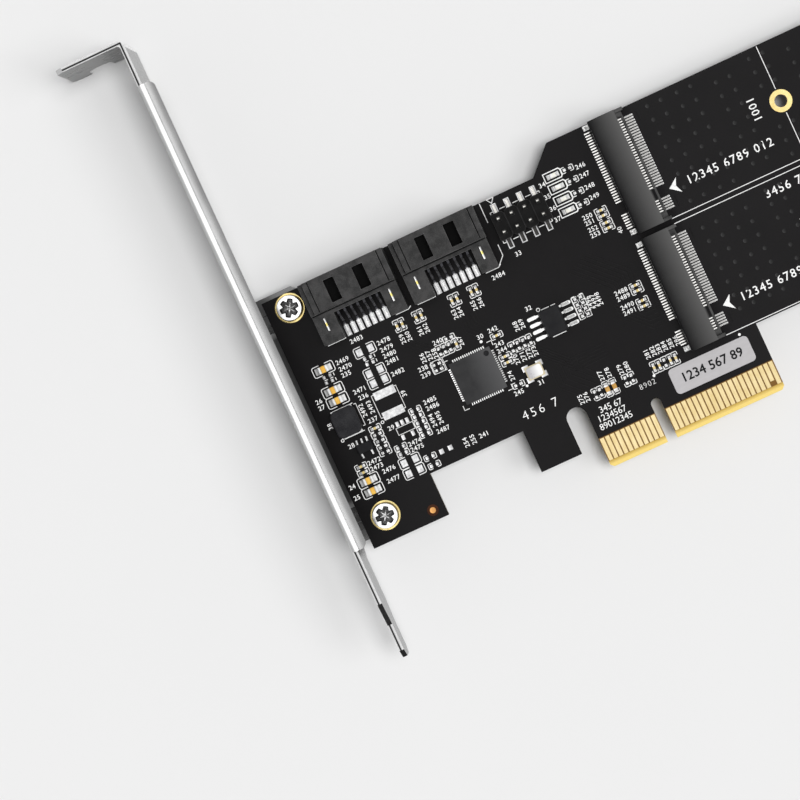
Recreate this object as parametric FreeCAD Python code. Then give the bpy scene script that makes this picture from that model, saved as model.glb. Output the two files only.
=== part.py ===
import FreeCAD, Part
import math
import os

# Storage controller card: a black circuit board with a folded steel slot bracket, two drive ports,
# two solid-state-drive sockets, a pin header and the parts soldered between them.
# X runs along the card from the bracket to the far end, Y from the edge contacts upwards and Z out
# of the component side. The origin is where the centre line of the key notch meets the card's lower
# edge, in the board's middle plane. All sizes are millimetres.

Vector = FreeCAD.Vector

# Circuit board and its outline
BOARD_T = 1.57
TOP = BOARD_T / 2
UNDER = -TOP
BOARD_LEFT = -57.05
BOARD_RIGHT = 95.6
PORT_EDGE = 53.05
WING_EDGE = 57.8
WING_FLOOR = 12.75
WAIST = 12.6
FOOT_EDGE = 4.46
FOOT_RIGHT = -42.2
HOOK_LEFT = -23.8
HOOK_RIGHT = -15.85
CONTACTS_LEFT = -12.05
CONTACTS_RIGHT = 22.1
KEY_WIDTH = 1.9
KEY_TOP = 8.1
RAMP_X = -3.2
BEVEL_LENGTH = 1.27
BEVEL_DEPTH = 0.45
CONTACTS_CORNER = 0.6
FOIL = 0.05

# Edge contacts: a short and a long row each side of the key notch
FINGER_PITCH = 1.0
FINGER_WIDTH = 0.76
FINGER_FROM_KEY = 1.5
FINGERS_SHORT_ROW = 11
FINGERS_LONG_ROW = 21
FINGER_LOW = 1.3
FINGER_TOP = 5.55
SENSE_FINGER_LOW = 2.2
SENSE_FINGER_FRONT = FINGER_FROM_KEY + (FINGERS_LONG_ROW - 2) * FINGER_PITCH
SENSE_FINGER_REAR = -FINGER_FROM_KEY - (FINGERS_SHORT_ROW - 1) * FINGER_PITCH

# Slot bracket, folded from one sheet
SHEET = 0.86
BEND_R = 0.6
BEND_OUT = BEND_R + SHEET
BRACKET_FACE = -59.55
BRACKET_INNER = BRACKET_FACE + SHEET
BRACKET_WIDTH = 18.42
BRACKET_LOW = UNDER - 2.5
BRACKET_HIGH = BRACKET_LOW + BRACKET_WIDTH
FLANGE = 3.05
FLANGE_CROWN_R = 6.0
FLANGE_CORNER_R = 1.2
BODY_LOW = 6.1
BODY_HIGH = 96.4
SLOPE_Y = 2.6
NECK_LOW = BRACKET_LOW + 1.8
NECK_HIGH = BRACKET_HIGH - 1.8
TAIL_WIDTH = 10.19
TAIL_HIGH = BRACKET_HIGH - 1.9
TAIL_LOW = TAIL_HIGH - TAIL_WIDTH
TAIL_SHOULDER = -4.2
TAIL_WAIST = -8.4
TAIL_TAPER = 1.6
TAIL_TIP_CHAMFER = 1.4
BRACKET_LENGTH = 120.02
TAB_TOP = 105.3
TAB_SEAT = TAB_TOP - SHEET
TAIL_TIP = TAB_TOP - BRACKET_LENGTH
TAB_TIP = -71.8
TAB_WIDTH = 20.0
TAB_LOW = NECK_HIGH - TAB_WIDTH
TAB_CHAMFER = 1.2
TAB_CORNER = 1.3
NOTCH_X = -65.8
NOTCH_WIDTH = 4.5
NOTCH_DEPTH = 5.8
SLIT_WIDTH = 0.5
SLIT_END = -68.4

# Bracket feet and the screws that hold the board on them
SCREW_XY = [(-52.65, 50.27), (-52.65, 9.15)]
FOOT_LOWER_EDGES = [47.4, 6.3]
FOOT_WIDTH = 6.5
FOOT_END = -50.1
FOOT_CORNER = 1.0
FOOT_RELIEF = 0.6
FOOT_UNDER = UNDER - SHEET
SCREW_R = 1.45
SCREW_TAP_R = 1.48
SCREW_HOLE_R = 1.6
SCREW_RIM_R = 2.75
SCREW_HEAD_R = 2.3
SCREW_HEAD_SIDE = 0.8
SCREW_HEAD_H = 1.6
SCREW_CROWN_R = 1.5
SCREW_SIDES = 18
SCREW_TIP = FOOT_UNDER - 1.0
RECESS_SIDES = 6
RECESS_R = 1.2
RECESS_DEPTH = 0.9

# Drive holes: one plated hole for each drive length, on both socket rows
SOCKET_ROWS = [47.0, 24.05]
DRIVE_LENGTHS = [30, 42, 60, 80]
DRIVE_FRONT_X = 12.58
DRIVE_HOLE_R = 1.23
DRIVE_RIM_R = 2.04
RIM_SIDES = 10

# Drive sockets, heights above the board
SOCKET_HALF = 10.95
SOCKET_REAR = 9.65
COVER_FRONT = 14.7
LIP_FRONT = 15.95
SOCKET_END_FRONT = 16.35
SOCKET_H = 4.2
COVER_CHAMFER = 0.35
LIP_H = 2.15
MOUTH_H = 3.25
MOUTH_BACK = 10.9
MOUTH_HALF = 9.95
KEY_RIB_Y = -5.5
KEY_RIB_WIDTH = 1.1
POCKET_HALF = 9.35
SOCKET_END_WALL = 0.6
SOCKET_END_H = 2.9
POCKET_FLOOR = 0.6
BLADE_T = 0.15
BLADE_WIDTH = 0.24
BLADE_PITCH = 0.5
BLADE_ROOM = 0.05
UPPER_FIRST = 9.25
LOWER_FIRST = 9.0
UPPER_RUNS = [(0, 27), (32, 37)]
LOWER_RUNS = [(0, 27), (32, 36)]
UPPER_TAIL_ROOT = 9.85
UPPER_TAIL_TIP = 8.3
LOWER_BEAM_TIP = 11.3
LOWER_LEG_X = 15.46
LOWER_TAIL_TIP = 17.55
CLAMP_Y = 10.2
CLAMP_WIDTH = 0.95
CLAMP_TIP = 8.5
CLAMP_H = 1.5
CLAMP_T = 0.2

# Drive ports: sizes across from the middle contact, heights above the board
PORT_XS = [-40.98, -23.17]
PORT_REAR = 41.3
SHROUD_REAR = 46.95
PORT_BASE = 0.1
PORT_H = 8.0
SHROUD_SIDES = (-7.5, 8.1)
SHROUD_CROWN = (-6.35, 6.95)
CROWN_STEP = 0.45
SIDE_LEDGE_LEFT = -8.45
SIDE_LEDGE_H = 5.6
CAVITY_SIDES = (-6.5, 7.1)
CAVITY_BACK = 47.7
CAVITY_LOW = 1.2
CAVITY_HIGH = 7.0
WINDOWS = [(-3.7, -1.7), (1.9, 4.0)]
WINDOW_Y = (47.7, 52.0)
TONGUE_SIDES = (-5.1, 5.4)
TONGUE_LOW = 3.4
TONGUE_HIGH = 4.6
TONGUE_FRONT = 52.4
TONGUE_KEY_LEFT = 4.2
TONGUE_KEY_HIGH = 6.3
PORT_LEGS = [(-8.45, -4.5), (4.7, 7.95)]
LEG_H = 4.6
LEDGE_REAR = 46.15
PORT_PINS = 7
PORT_PITCH = 1.27
PORT_PIN_WIDTH = 0.5
PORT_PIN_T = 0.2
PORT_PIN_TIP = 52.1
PORT_PIN_SHOULDER = 45.6
PORT_PIN_HEEL = 44.0
PORT_PAD_Y = (41.25, 43.3)
PORT_PAD_WIDTH = 0.9
BLADE_XS = [-6.5, 6.25]
LOCK_T = 0.35
LOCK_Y = (43.45, 45.95)
LOCK_STEM_Y = (44.1, 45.3)
LOCK_TOP = 4.75
LOCK_REACH = 0.9
LOCK_POINT = 0.5
LOCK_ROOM = 0.1

# Pin header
HEADER_X = -7.93
HEADER_Y = 47.6
HEADER_PITCH = 2.54
HEADER_COLUMNS = 4
HEADER_LOW = 0.65
HEADER_H = 3.15
HEADER_DEPTH = 5.08
HEADER_NOTCH = 0.5
POST = 0.64
POST_TOP = 8.6
POST_TAPER = 0.2
POST_FOOT_REACH = 4.15
POST_FOOT_H = 0.5
HEADER_PAD = (1.05, 1.95)
HEADER_PAD_Y = 3.35

# Controller chip, a flat square block
CONTROLLER_XY = (-26.95, 25.05)
CONTROLLER_SIDE = 8.0
CONTROLLER_H = 0.9

# Memory chip and regulator, with bent leads
MEMORY_XY = (-10.58, 28.35)
MEMORY_SIZE = (3.9, 4.9, 1.5)
MEMORY_SIDE_LEADS = 4
MEMORY_PITCH = 1.27
MEMORY_REACH = 1.95
MEMORY_LEAD = 0.45
REGULATOR_XY = (-50.9, 21.85)
REGULATOR_SIZE = (2.9, 1.6, 1.1)
REGULATOR_REACH = 0.95
REGULATOR_LEAD = 0.4
REGULATOR_PITCH = 0.96
LEAD_T = 0.18
LEAD_KNEE = 0.3
CHIP_GAP = 0.12
CHIP_DRAFT = 0.18

# Inductor, crystal and lights
INDUCTOR_XY = (-51.95, 27.4)
INDUCTOR_SIZE = (4.7, 5.2, 2.0)
INDUCTOR_CHAMFER = 0.7
INDUCTOR_PAD = (4.1, 1.5)
INDUCTOR_PAD_Y = 1.95
TERMINAL_T = 0.12
CRYSTAL_XY = (-17.35, 21.5)
CRYSTAL_SIZE = (3.2, 2.5, 0.55)
CRYSTAL_LID = (2.8, 2.1, 0.25)
CRYSTAL_LID_CHAMFER = 0.3
LIGHT_X = 0.2
LIGHT_YS = [52.0, 49.75, 47.45, 45.2]
LIGHT_BASE = (1.7, 0.85, 0.3)
LIGHT_LENS = (1.1, 0.75, 0.35)
LIGHT_BAND = 0.28

# Chip parts: length, width, height and end band of each size
LARGE = (2.0, 1.25, 1.0, 0.6)
MIDDLE = (1.6, 0.8, 0.75, 0.35)
SMALL = (1.0, 0.5, 0.5)
FLAT = (1.0, 0.5, 0.35)

LARGE_CAPS = [(-51.8, 37.7), (-51.8, 33.55), (-51.8, 31.55), (-52.8, 16.1), (-52.8, 14.1)]
LARGE_EMPTY = [(-43.55, 37.7), (-43.55, 33.5), (-43.55, 31.6), (-44.55, 16.2), (-44.55, 14.15)]
MIDDLE_CAPS = [(-6.85, 13.15), (-5.5, 13.15)]
LARGE_PAD = (1.12, 1.3)
LARGE_PAD_X = 1.11
MIDDLE_EMPTY = [(-37.75, 15.35)]
MIDDLE_PAD = (0.82, 0.9)
MIDDLE_PAD_X = 0.86

PAIR_PITCH = 1.03
PORT_CAP_PAIRS = [-35.95, -32.18, -25.08, -21.25]
PORT_CAP_Y = 39.2
SOCKET_CAP_X = 5.37
SOCKET_CAP_PAIRS = [42.24, 39.84, 27.48, 24.49]
EDGE_CAP_PAIRS = [2.82, 6.02]
EDGE_PARTS_Y = 13.15
LONE_CAPS_ACROSS = [
    (-20.9, 30.2), (-21.1, 26.15), (-21.1, 25.0), (-47.8, 24.2), (-53.0, 18.94), (-53.0, 17.8),
]
LONE_CAPS_ALONG = [(-28.1, 31.85)]

LIGHT_RESISTOR_X = 3.02
STRAP_XY = [(-32.85, 30.0), (-32.85, 28.95), (-28.9, 33.4), (-21.0, 20.55)]
STRAP_ROW = ([-31.4, -30.4, -29.4], 31.85)
CONTROL_ROW = ([-19.3, -18.1, -17.0, -15.8], 26.95)
MEMORY_COLUMN = (-4.9, [30.2, 29.1, 28.0, 26.9])
REGULATOR_COLUMN = (-47.85, [23.0, 21.75, 20.55, 19.5])
EDGE_RESISTOR_XS = [-9.2, -8.2, -3.2, -2.0, 4.45]

EMPTY_INDUCTOR_XY = (-43.55, 27.35)
EMPTY_REGULATOR_XY = (-42.86, 21.83)
REGULATOR_PAD = (0.6, 0.95)
REGULATOR_PAD_Y = 1.28

MARK_XY = (-44.48, 6.4)
MARK_R = 0.55

# An extruded outline lies across the named axis; the two numbers of a point run along the others
PLANES = {
    "x": lambda a, b, c: Vector(c, a, b),
    "y": lambda a, b, c: Vector(a, c, b),
    "z": lambda a, b, c: Vector(a, b, c),
}


def extrude(axis, steps, low, high):
    """Solid of an outline; a step is a point, or a pair of points that an arc passes and reaches."""
    place = PLANES[axis]
    here = place(*steps[0], low)
    edges = []
    for step in steps[1:] + steps[:1]:
        if isinstance(step[0], tuple):
            passed = place(*step[0], low)
            end = place(*step[1], low)
            edges.append(Part.Arc(here, passed, end).toShape())
        else:
            end = place(*step, low)
            edges.append(Part.makeLine(here, end))
        here = end
    return Part.Face(Part.Wire(edges)).extrude(place(0, 0, high) - place(0, 0, low))


def box(x, y, z):
    """Block between the low and high values given for each axis."""
    return Part.makeBox(x[1] - x[0], y[1] - y[0], z[1] - z[0], Vector(x[0], y[0], z[0]))


def around(middle, width):
    """Low and high ends of a width about its middle."""
    return (middle - width / 2, middle + width / 2)


def above(low, high):
    """Heights over the board's component side as heights in the card's frame."""
    return (TOP + low, TOP + high)


def disc(x, y, radius, z):
    """Upright cylinder between two heights."""
    return Part.makeCylinder(radius, z[1] - z[0], Vector(x, y, z[0]))


def polygon(sides, radius):
    """Corners of a regular polygon about the origin."""
    turns = [2 * math.pi * index / sides for index in range(sides)]
    return [(radius * math.cos(turn), radius * math.sin(turn)) for turn in turns]


def cut_corner_block(xy, size, corner, z):
    """Block with its four upright corners cut off."""
    x = around(xy[0], size[0])
    y = around(xy[1], size[1])
    return extrude("z", [
        (x[0] + corner, y[0]),
        (x[1] - corner, y[0]),
        (x[1], y[0] + corner),
        (x[1], y[1] - corner),
        (x[1] - corner, y[1]),
        (x[0] + corner, y[1]),
        (x[0], y[1] - corner),
        (x[0], y[0] + corner),
    ], *z)


def joined(shapes):
    """One solid fused from touching shapes, without the seams between them."""
    return shapes[0].fuse(shapes[1:]).removeSplitter()


def spread(count, pitch, middle=0.0):
    """Evenly spaced places about a middle."""
    return [middle + (index - (count - 1) / 2) * pitch for index in range(count)]


def save(name, solids):
    """Write one node."""
    Part.makeCompound(solids).exportStep("parts/" + name + ".step")


def drive_hole_places():
    """Centres of the plated drive holes."""
    return [(DRIVE_FRONT_X + length, row) for row in SOCKET_ROWS for length in DRIVE_LENGTHS]


def board_outline():
    """Board edge, anticlockwise from the lower left corner."""
    slot_r = (CONTACTS_LEFT - HOOK_RIGHT) / 2
    slot_x = (CONTACTS_LEFT + HOOK_RIGHT) / 2
    key_r = KEY_WIDTH / 2
    return [
        (BOARD_LEFT, FOOT_EDGE),
        (FOOT_RIGHT, FOOT_EDGE),
        (FOOT_RIGHT, WAIST),
        (HOOK_LEFT, WAIST),
        (HOOK_LEFT, FOOT_EDGE),
        (HOOK_RIGHT, FOOT_EDGE),
        (HOOK_RIGHT, WAIST - slot_r),
        ((slot_x, WAIST), (CONTACTS_LEFT, WAIST - slot_r)),
        (CONTACTS_LEFT, CONTACTS_CORNER),
        (CONTACTS_LEFT + CONTACTS_CORNER, 0),
        (-key_r, 0),
        (-key_r, KEY_TOP - key_r),
        ((0, KEY_TOP), (key_r, KEY_TOP - key_r)),
        (key_r, 0),
        (CONTACTS_RIGHT - CONTACTS_CORNER, 0),
        (CONTACTS_RIGHT, CONTACTS_CORNER),
        (CONTACTS_RIGHT, WING_FLOOR),
        (BOARD_RIGHT, WING_FLOOR),
        (BOARD_RIGHT, WING_EDGE),
        (RAMP_X + WING_EDGE - PORT_EDGE, WING_EDGE),
        (RAMP_X, PORT_EDGE),
        (BOARD_LEFT, PORT_EDGE),
    ]


def bevel_cutter(side):
    """Wedge that bevels the insertion edge on one face; side is 1 for the component side."""
    slope = BEVEL_DEPTH / BEVEL_LENGTH
    lead = 1.0
    steps = [
        (-lead, side * (TOP - BEVEL_DEPTH - slope * lead)),
        (BEVEL_LENGTH, side * TOP),
        (BEVEL_LENGTH, side * (TOP + lead)),
        (-lead, side * (TOP + lead)),
    ]
    return extrude("x", steps, CONTACTS_LEFT - lead, CONTACTS_RIGHT + lead)


def circuit_board():
    """Board with its outline, insertion bevel and holes."""
    board = extrude("z", board_outline(), UNDER, TOP)
    through = (UNDER - 1, TOP + 1)
    holes = [bevel_cutter(1), bevel_cutter(-1)]
    holes += [disc(x, y, SCREW_HOLE_R, through) for x, y in SCREW_XY]
    holes += [disc(x, y, DRIVE_HOLE_R, through) for x, y in drive_hole_places()]
    stem = (LOCK_STEM_Y[0] - LOCK_ROOM, LOCK_STEM_Y[1] + LOCK_ROOM)
    for port_x in PORT_XS:
        for blade_x in BLADE_XS:
            holes.append(box(around(port_x + blade_x, LOCK_T + 2 * LOCK_ROOM), stem, through))
    return board.cut(holes)


def edge_contacts(side):
    """Gold fingers of one face; side is 1 for the component side."""
    short_row = [-FINGER_FROM_KEY - index * FINGER_PITCH for index in range(FINGERS_SHORT_ROW)]
    long_row = [FINGER_FROM_KEY + index * FINGER_PITCH for index in range(FINGERS_LONG_ROW)]
    sense = SENSE_FINGER_FRONT if side > 0 else SENSE_FINGER_REAR
    face = (TOP, TOP + FOIL) if side > 0 else (UNDER - FOIL, UNDER)
    fingers = []
    for x in short_row + long_row:
        low = SENSE_FINGER_LOW if abs(x - sense) < FINGER_PITCH / 2 else FINGER_LOW
        fingers.append(box(around(x, FINGER_WIDTH), (low, FINGER_TOP), face))
    return fingers


def plated_rim(x, y, bore, rim):
    """Gold ring round a hole on the component side, clear of the hole's wall."""
    inner = bore / math.cos(math.pi / RIM_SIDES)
    face = above(0, FOIL)
    ring = extrude("z", polygon(RIM_SIDES, rim), *face).cut(extrude("z", polygon(RIM_SIDES, inner), *face))
    ring.translate(Vector(x, y, 0))
    return ring


def bracket_plate():
    """Upright sheet of the bracket from the neck to the tail's tip, without its folds."""
    body_top = BRACKET_HIGH - BEND_OUT
    waist_high = TAIL_HIGH - TAIL_TAPER
    waist_low = TAIL_LOW + TAIL_TAPER
    steps = [
        (BODY_LOW, BRACKET_LOW),
        (BODY_HIGH, BRACKET_LOW),
        (BODY_HIGH + SLOPE_Y, NECK_LOW),
        (TAB_TOP - BEND_OUT, NECK_LOW),
        (TAB_TOP - BEND_OUT, NECK_HIGH),
        (BODY_HIGH + SLOPE_Y, NECK_HIGH),
        (BODY_HIGH, body_top),
        (BODY_LOW, body_top),
        (BODY_LOW, TAIL_HIGH),
        (TAIL_SHOULDER, TAIL_HIGH),
        (TAIL_WAIST, waist_high),
        (TAIL_TIP + TAIL_TIP_CHAMFER, waist_high),
        (TAIL_TIP, waist_high - TAIL_TIP_CHAMFER),
        (TAIL_TIP, waist_low + TAIL_TIP_CHAMFER),
        (TAIL_TIP + TAIL_TIP_CHAMFER, waist_low),
        (TAIL_WAIST, waist_low),
        (TAIL_SHOULDER, TAIL_LOW),
        (BODY_LOW - SLOPE_Y, TAIL_LOW),
        (BODY_LOW, BRACKET_LOW + SLOPE_Y),
    ]
    return extrude("x", steps, BRACKET_FACE, BRACKET_INNER)


def fold_section(face, side, height, reach):
    """L section of a fold: up a face, round the bend and out along a leg.

    The face lies at `face`, the sheet's thickness runs towards `side`, the leg's outer surface lies at
    `height` and the leg ends at `reach`; the section starts one bend below the leg, or above it when
    the leg is the lower end.
    """
    turn = 1 if height > 0 else -1
    middle_a = face + side * BEND_OUT
    middle_b = height - turn * BEND_OUT

    def half_way(radius):
        slant = radius / 2 ** 0.5
        return (middle_a - side * slant, middle_b + turn * slant)

    return [
        (face, middle_b),
        (half_way(BEND_OUT), (middle_a, height)),
        (reach, height),
        (reach, height - turn * SHEET),
        (middle_a, height - turn * SHEET),
        (half_way(BEND_R), (face + side * SHEET, middle_b)),
    ]


def flange_section():
    """Section of the stiffening flange: up the plate, round the bend and out along a gentle crown."""
    middle = BRACKET_FACE + BEND_OUT
    bend_z = BRACKET_HIGH - BEND_OUT
    crown_z = BRACKET_HIGH - FLANGE_CROWN_R
    end_turn = math.asin((FLANGE - BEND_OUT) / FLANGE_CROWN_R)

    def bend(radius):
        slant = radius / 2 ** 0.5
        return (middle - slant, bend_z + slant)

    def crown(radius, turn):
        return (middle + radius * math.sin(turn), crown_z + radius * math.cos(turn))

    inner = FLANGE_CROWN_R - SHEET
    return [
        (BRACKET_FACE, bend_z),
        (bend(BEND_OUT), (middle, BRACKET_HIGH)),
        (crown(FLANGE_CROWN_R, end_turn / 2), crown(FLANGE_CROWN_R, end_turn)),
        crown(inner, end_turn),
        (crown(inner, end_turn / 2), (middle, BRACKET_HIGH - SHEET)),
        (bend(BEND_R), (BRACKET_INNER, bend_z)),
    ]


def bracket_flange():
    """Stiffening flange folded inwards along the component-side edge of the body, with round corners."""
    flange = extrude("y", flange_section(), BODY_LOW, BODY_HIGH)
    edge = BRACKET_FACE + FLANGE
    middle_x = edge - FLANGE_CORNER_R
    slant = FLANGE_CORNER_R / 2 ** 0.5
    corners = []
    for end, inward in ((BODY_LOW, 1), (BODY_HIGH, -1)):
        middle_y = end + inward * FLANGE_CORNER_R
        corners.append(extrude("z", [
            (edge, end),
            (middle_x, end),
            ((middle_x + slant, middle_y - inward * slant), (edge, middle_y)),
        ], BRACKET_HIGH - BEND_OUT, BRACKET_HIGH + 1))
    return flange.cut(corners)


def bracket_foot(low_y, hole_xy):
    """Foot folded under the board, with the hole that a board screw is driven into."""
    section = fold_section(BRACKET_FACE, 1, FOOT_UNDER, FOOT_END)
    high_y = low_y + FOOT_WIDTH
    through = (FOOT_UNDER - 1, UNDER + 1)
    cuts = [disc(*hole_xy, SCREW_TAP_R, through)]
    for end, inward in ((low_y, 1), (high_y, -1)):
        cuts.append(extrude("z", [
            (FOOT_END, end),
            (FOOT_END - FOOT_CORNER, end),
            (FOOT_END, end + inward * FOOT_CORNER),
        ], *through))
    return extrude("y", section, low_y, high_y).cut(cuts)


def screw_tab():
    """Tab folded outwards at the top, with its screw notch, slit and cut corners."""
    section = fold_section(BRACKET_INNER, -1, TAB_TOP, TAB_TIP)
    tab = extrude("z", section, TAB_LOW, NECK_HIGH)
    span = (TAB_SEAT - 1, TAB_TOP + 1)
    notch_r = NOTCH_WIDTH / 2
    notch_top = TAB_LOW + NOTCH_DEPTH - notch_r
    notch = extrude("y", [
        (NOTCH_X - notch_r, TAB_LOW - 1),
        (NOTCH_X + notch_r, TAB_LOW - 1),
        (NOTCH_X + notch_r, notch_top),
        ((NOTCH_X, notch_top + notch_r), (NOTCH_X - notch_r, notch_top)),
    ], *span)
    slit_z = (TAB_LOW + NECK_HIGH) / 2
    slit = box((TAB_TIP - 1, SLIT_END), span, around(slit_z, SLIT_WIDTH))
    corners = []
    for end, reach in ((NECK_HIGH, -TAB_CHAMFER), (TAB_LOW, TAB_CORNER)):
        corners.append(extrude("y", [
            (TAB_TIP, end),
            (TAB_TIP + abs(reach), end),
            (TAB_TIP, end + reach),
        ], *span))
    below_neck = box((BRACKET_FACE, BRACKET_INNER + 1), (0, TAB_TOP + 1), (TAB_LOW - 1, NECK_LOW))
    return tab.cut([notch, slit, below_neck] + corners)


def bracket():
    """The whole folded bracket as one sheet."""
    plate = bracket_plate()
    through = (BRACKET_FACE - 1, BRACKET_INNER + 1)
    relief_z = (BRACKET_LOW - 1, FOOT_UNDER + BEND_OUT)
    for low_y in FOOT_LOWER_EDGES:
        relief_y = (low_y - FOOT_RELIEF, low_y + FOOT_WIDTH + FOOT_RELIEF)
        plate = plate.cut(box(through, relief_y, relief_z))
    feet = [bracket_foot(low_y, hole) for low_y, hole in zip(FOOT_LOWER_EDGES, SCREW_XY)]
    return joined([plate, bracket_flange(), screw_tab()] + feet)


def flat_sided(sides, rings):
    """Solid with flat sides between polygon rings, each given by its radius and height from the tip up."""
    stack = [[Vector(x, y, height) for x, y in polygon(sides, radius)] for radius, height in rings]
    outlines = [stack[0][::-1], stack[-1]]
    for lower, upper in zip(stack, stack[1:]):
        for index in range(sides):
            after = (index + 1) % sides
            outlines.append([lower[index], lower[after], upper[after], upper[index]])
    faces = [Part.Face(Part.makePolygon(corners + corners[:1])) for corners in outlines]
    return Part.Solid(Part.makeShell(faces))


def board_screw(x, y):
    """Pan-head screw with a six-sided recess, seated on its plated rim."""
    seat = TOP + FOIL
    crown = seat + SCREW_HEAD_H
    screw = flat_sided(SCREW_SIDES, [
        (SCREW_R, SCREW_TIP),
        (SCREW_R, seat),
        (SCREW_HEAD_R, seat),
        (SCREW_HEAD_R, seat + SCREW_HEAD_SIDE),
        (SCREW_CROWN_R, crown),
    ])
    screw = screw.cut(extrude("z", polygon(RECESS_SIDES, RECESS_R), crown - RECESS_DEPTH, crown + 1))
    screw.translate(Vector(x, y, 0))
    return screw


def blade_places(first, runs):
    """Places of a socket's contacts along Y, one list for each run."""
    return [[first - BLADE_PITCH * index for index in range(start, stop + 1)] for start, stop in runs]


def run_span(places):
    """Room along Y that a run of contacts takes up."""
    return (places[-1] - BLADE_PITCH / 2, places[0] + BLADE_PITCH / 2)


def socket_housing(row):
    """Drive socket moulding: cover, mouth with its key rib, lower lip and end walls."""
    base = TOP + FOIL
    y = (row - SOCKET_HALF, row + SOCKET_HALF)
    body = extrude("y", [
        (SOCKET_REAR, base),
        (LIP_FRONT, base),
        (LIP_FRONT, TOP + LIP_H),
        (COVER_FRONT, TOP + LIP_H),
        (COVER_FRONT, TOP + SOCKET_H),
        (SOCKET_REAR + COVER_CHAMFER, TOP + SOCKET_H),
        (SOCKET_REAR, TOP + SOCKET_H - COVER_CHAMFER),
    ], *y)
    cuts = []
    key_low = row + KEY_RIB_Y - KEY_RIB_WIDTH / 2
    key_high = key_low + KEY_RIB_WIDTH
    mouth_x = (MOUTH_BACK, COVER_FRONT + 1)
    for mouth_y in ((row - MOUTH_HALF, key_low), (key_high, row + MOUTH_HALF)):
        cuts.append(box(mouth_x, mouth_y, above(LIP_H, MOUTH_H)))
    for side in (-1, 1):
        pocket = sorted((row + side * POCKET_HALF, row + side * (SOCKET_HALF - SOCKET_END_WALL)))
        cuts.append(box((COVER_FRONT, LIP_FRONT + 1), pocket, above(POCKET_FLOOR, SOCKET_H)))
    leg_x = (LOWER_LEG_X - BLADE_T - BLADE_ROOM, LOWER_LEG_X + BLADE_ROOM)
    for places in blade_places(row + LOWER_FIRST, LOWER_RUNS):
        span = run_span(places)
        cuts.append(box(leg_x, span, above(0, LIP_H)))
        cuts.append(box((leg_x[0], LIP_FRONT + 1), span, above(0, 2 * BLADE_T)))
    rear_x = (SOCKET_REAR - 1, UPPER_TAIL_ROOT + BLADE_ROOM)
    for places in blade_places(row + UPPER_FIRST, UPPER_RUNS):
        cuts.append(box(rear_x, run_span(places), above(0, 2 * BLADE_T)))
    body = body.cut(cuts)
    extras = []
    for side in (-1, 1):
        end_y = sorted((row + side * (SOCKET_HALF - SOCKET_END_WALL), row + side * SOCKET_HALF))
        extras.append(box((COVER_FRONT, SOCKET_END_FRONT), end_y, (base, TOP + SOCKET_END_H)))
    return joined([body] + extras)


def upper_blades(row):
    """Tails of the upper contacts, flat on the board behind the cover."""
    tail = (UPPER_TAIL_TIP, UPPER_TAIL_ROOT)
    runs = blade_places(row + UPPER_FIRST, UPPER_RUNS)
    return [box(tail, around(y, BLADE_WIDTH), above(0, BLADE_T)) for places in runs for y in places]


def lower_blades(row):
    """Contacts of the lip: a beam on the mouth's floor, a leg through the lip and a tail on the board."""
    floor = TOP + LIP_H
    inner = LOWER_LEG_X - BLADE_T
    profile = [
        (LOWER_BEAM_TIP, floor),
        (inner, floor),
        (inner, TOP),
        (LOWER_TAIL_TIP, TOP),
        (LOWER_TAIL_TIP, TOP + BLADE_T),
        (LOWER_LEG_X, TOP + BLADE_T),
        (LOWER_LEG_X, floor + BLADE_T),
        (LOWER_BEAM_TIP, floor + BLADE_T),
    ]
    runs = blade_places(row + LOWER_FIRST, LOWER_RUNS)
    return [extrude("y", profile, *around(y, BLADE_WIDTH)) for places in runs for y in places]


def socket_clamps(row):
    """Angle pieces that solder the socket's rear corners to the board."""
    profile = [
        (CLAMP_TIP, TOP),
        (SOCKET_REAR, TOP),
        (SOCKET_REAR, TOP + CLAMP_H),
        (SOCKET_REAR - CLAMP_T, TOP + CLAMP_H),
        (SOCKET_REAR - CLAMP_T, TOP + CLAMP_T),
        (CLAMP_TIP, TOP + CLAMP_T),
    ]
    return [extrude("y", profile, *around(row + side * CLAMP_Y, CLAMP_WIDTH)) for side in (1, -1)]


def across(port_x, sides):
    """Sizes across a port as places in the card's frame."""
    return (port_x + sides[0], port_x + sides[1])


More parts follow.
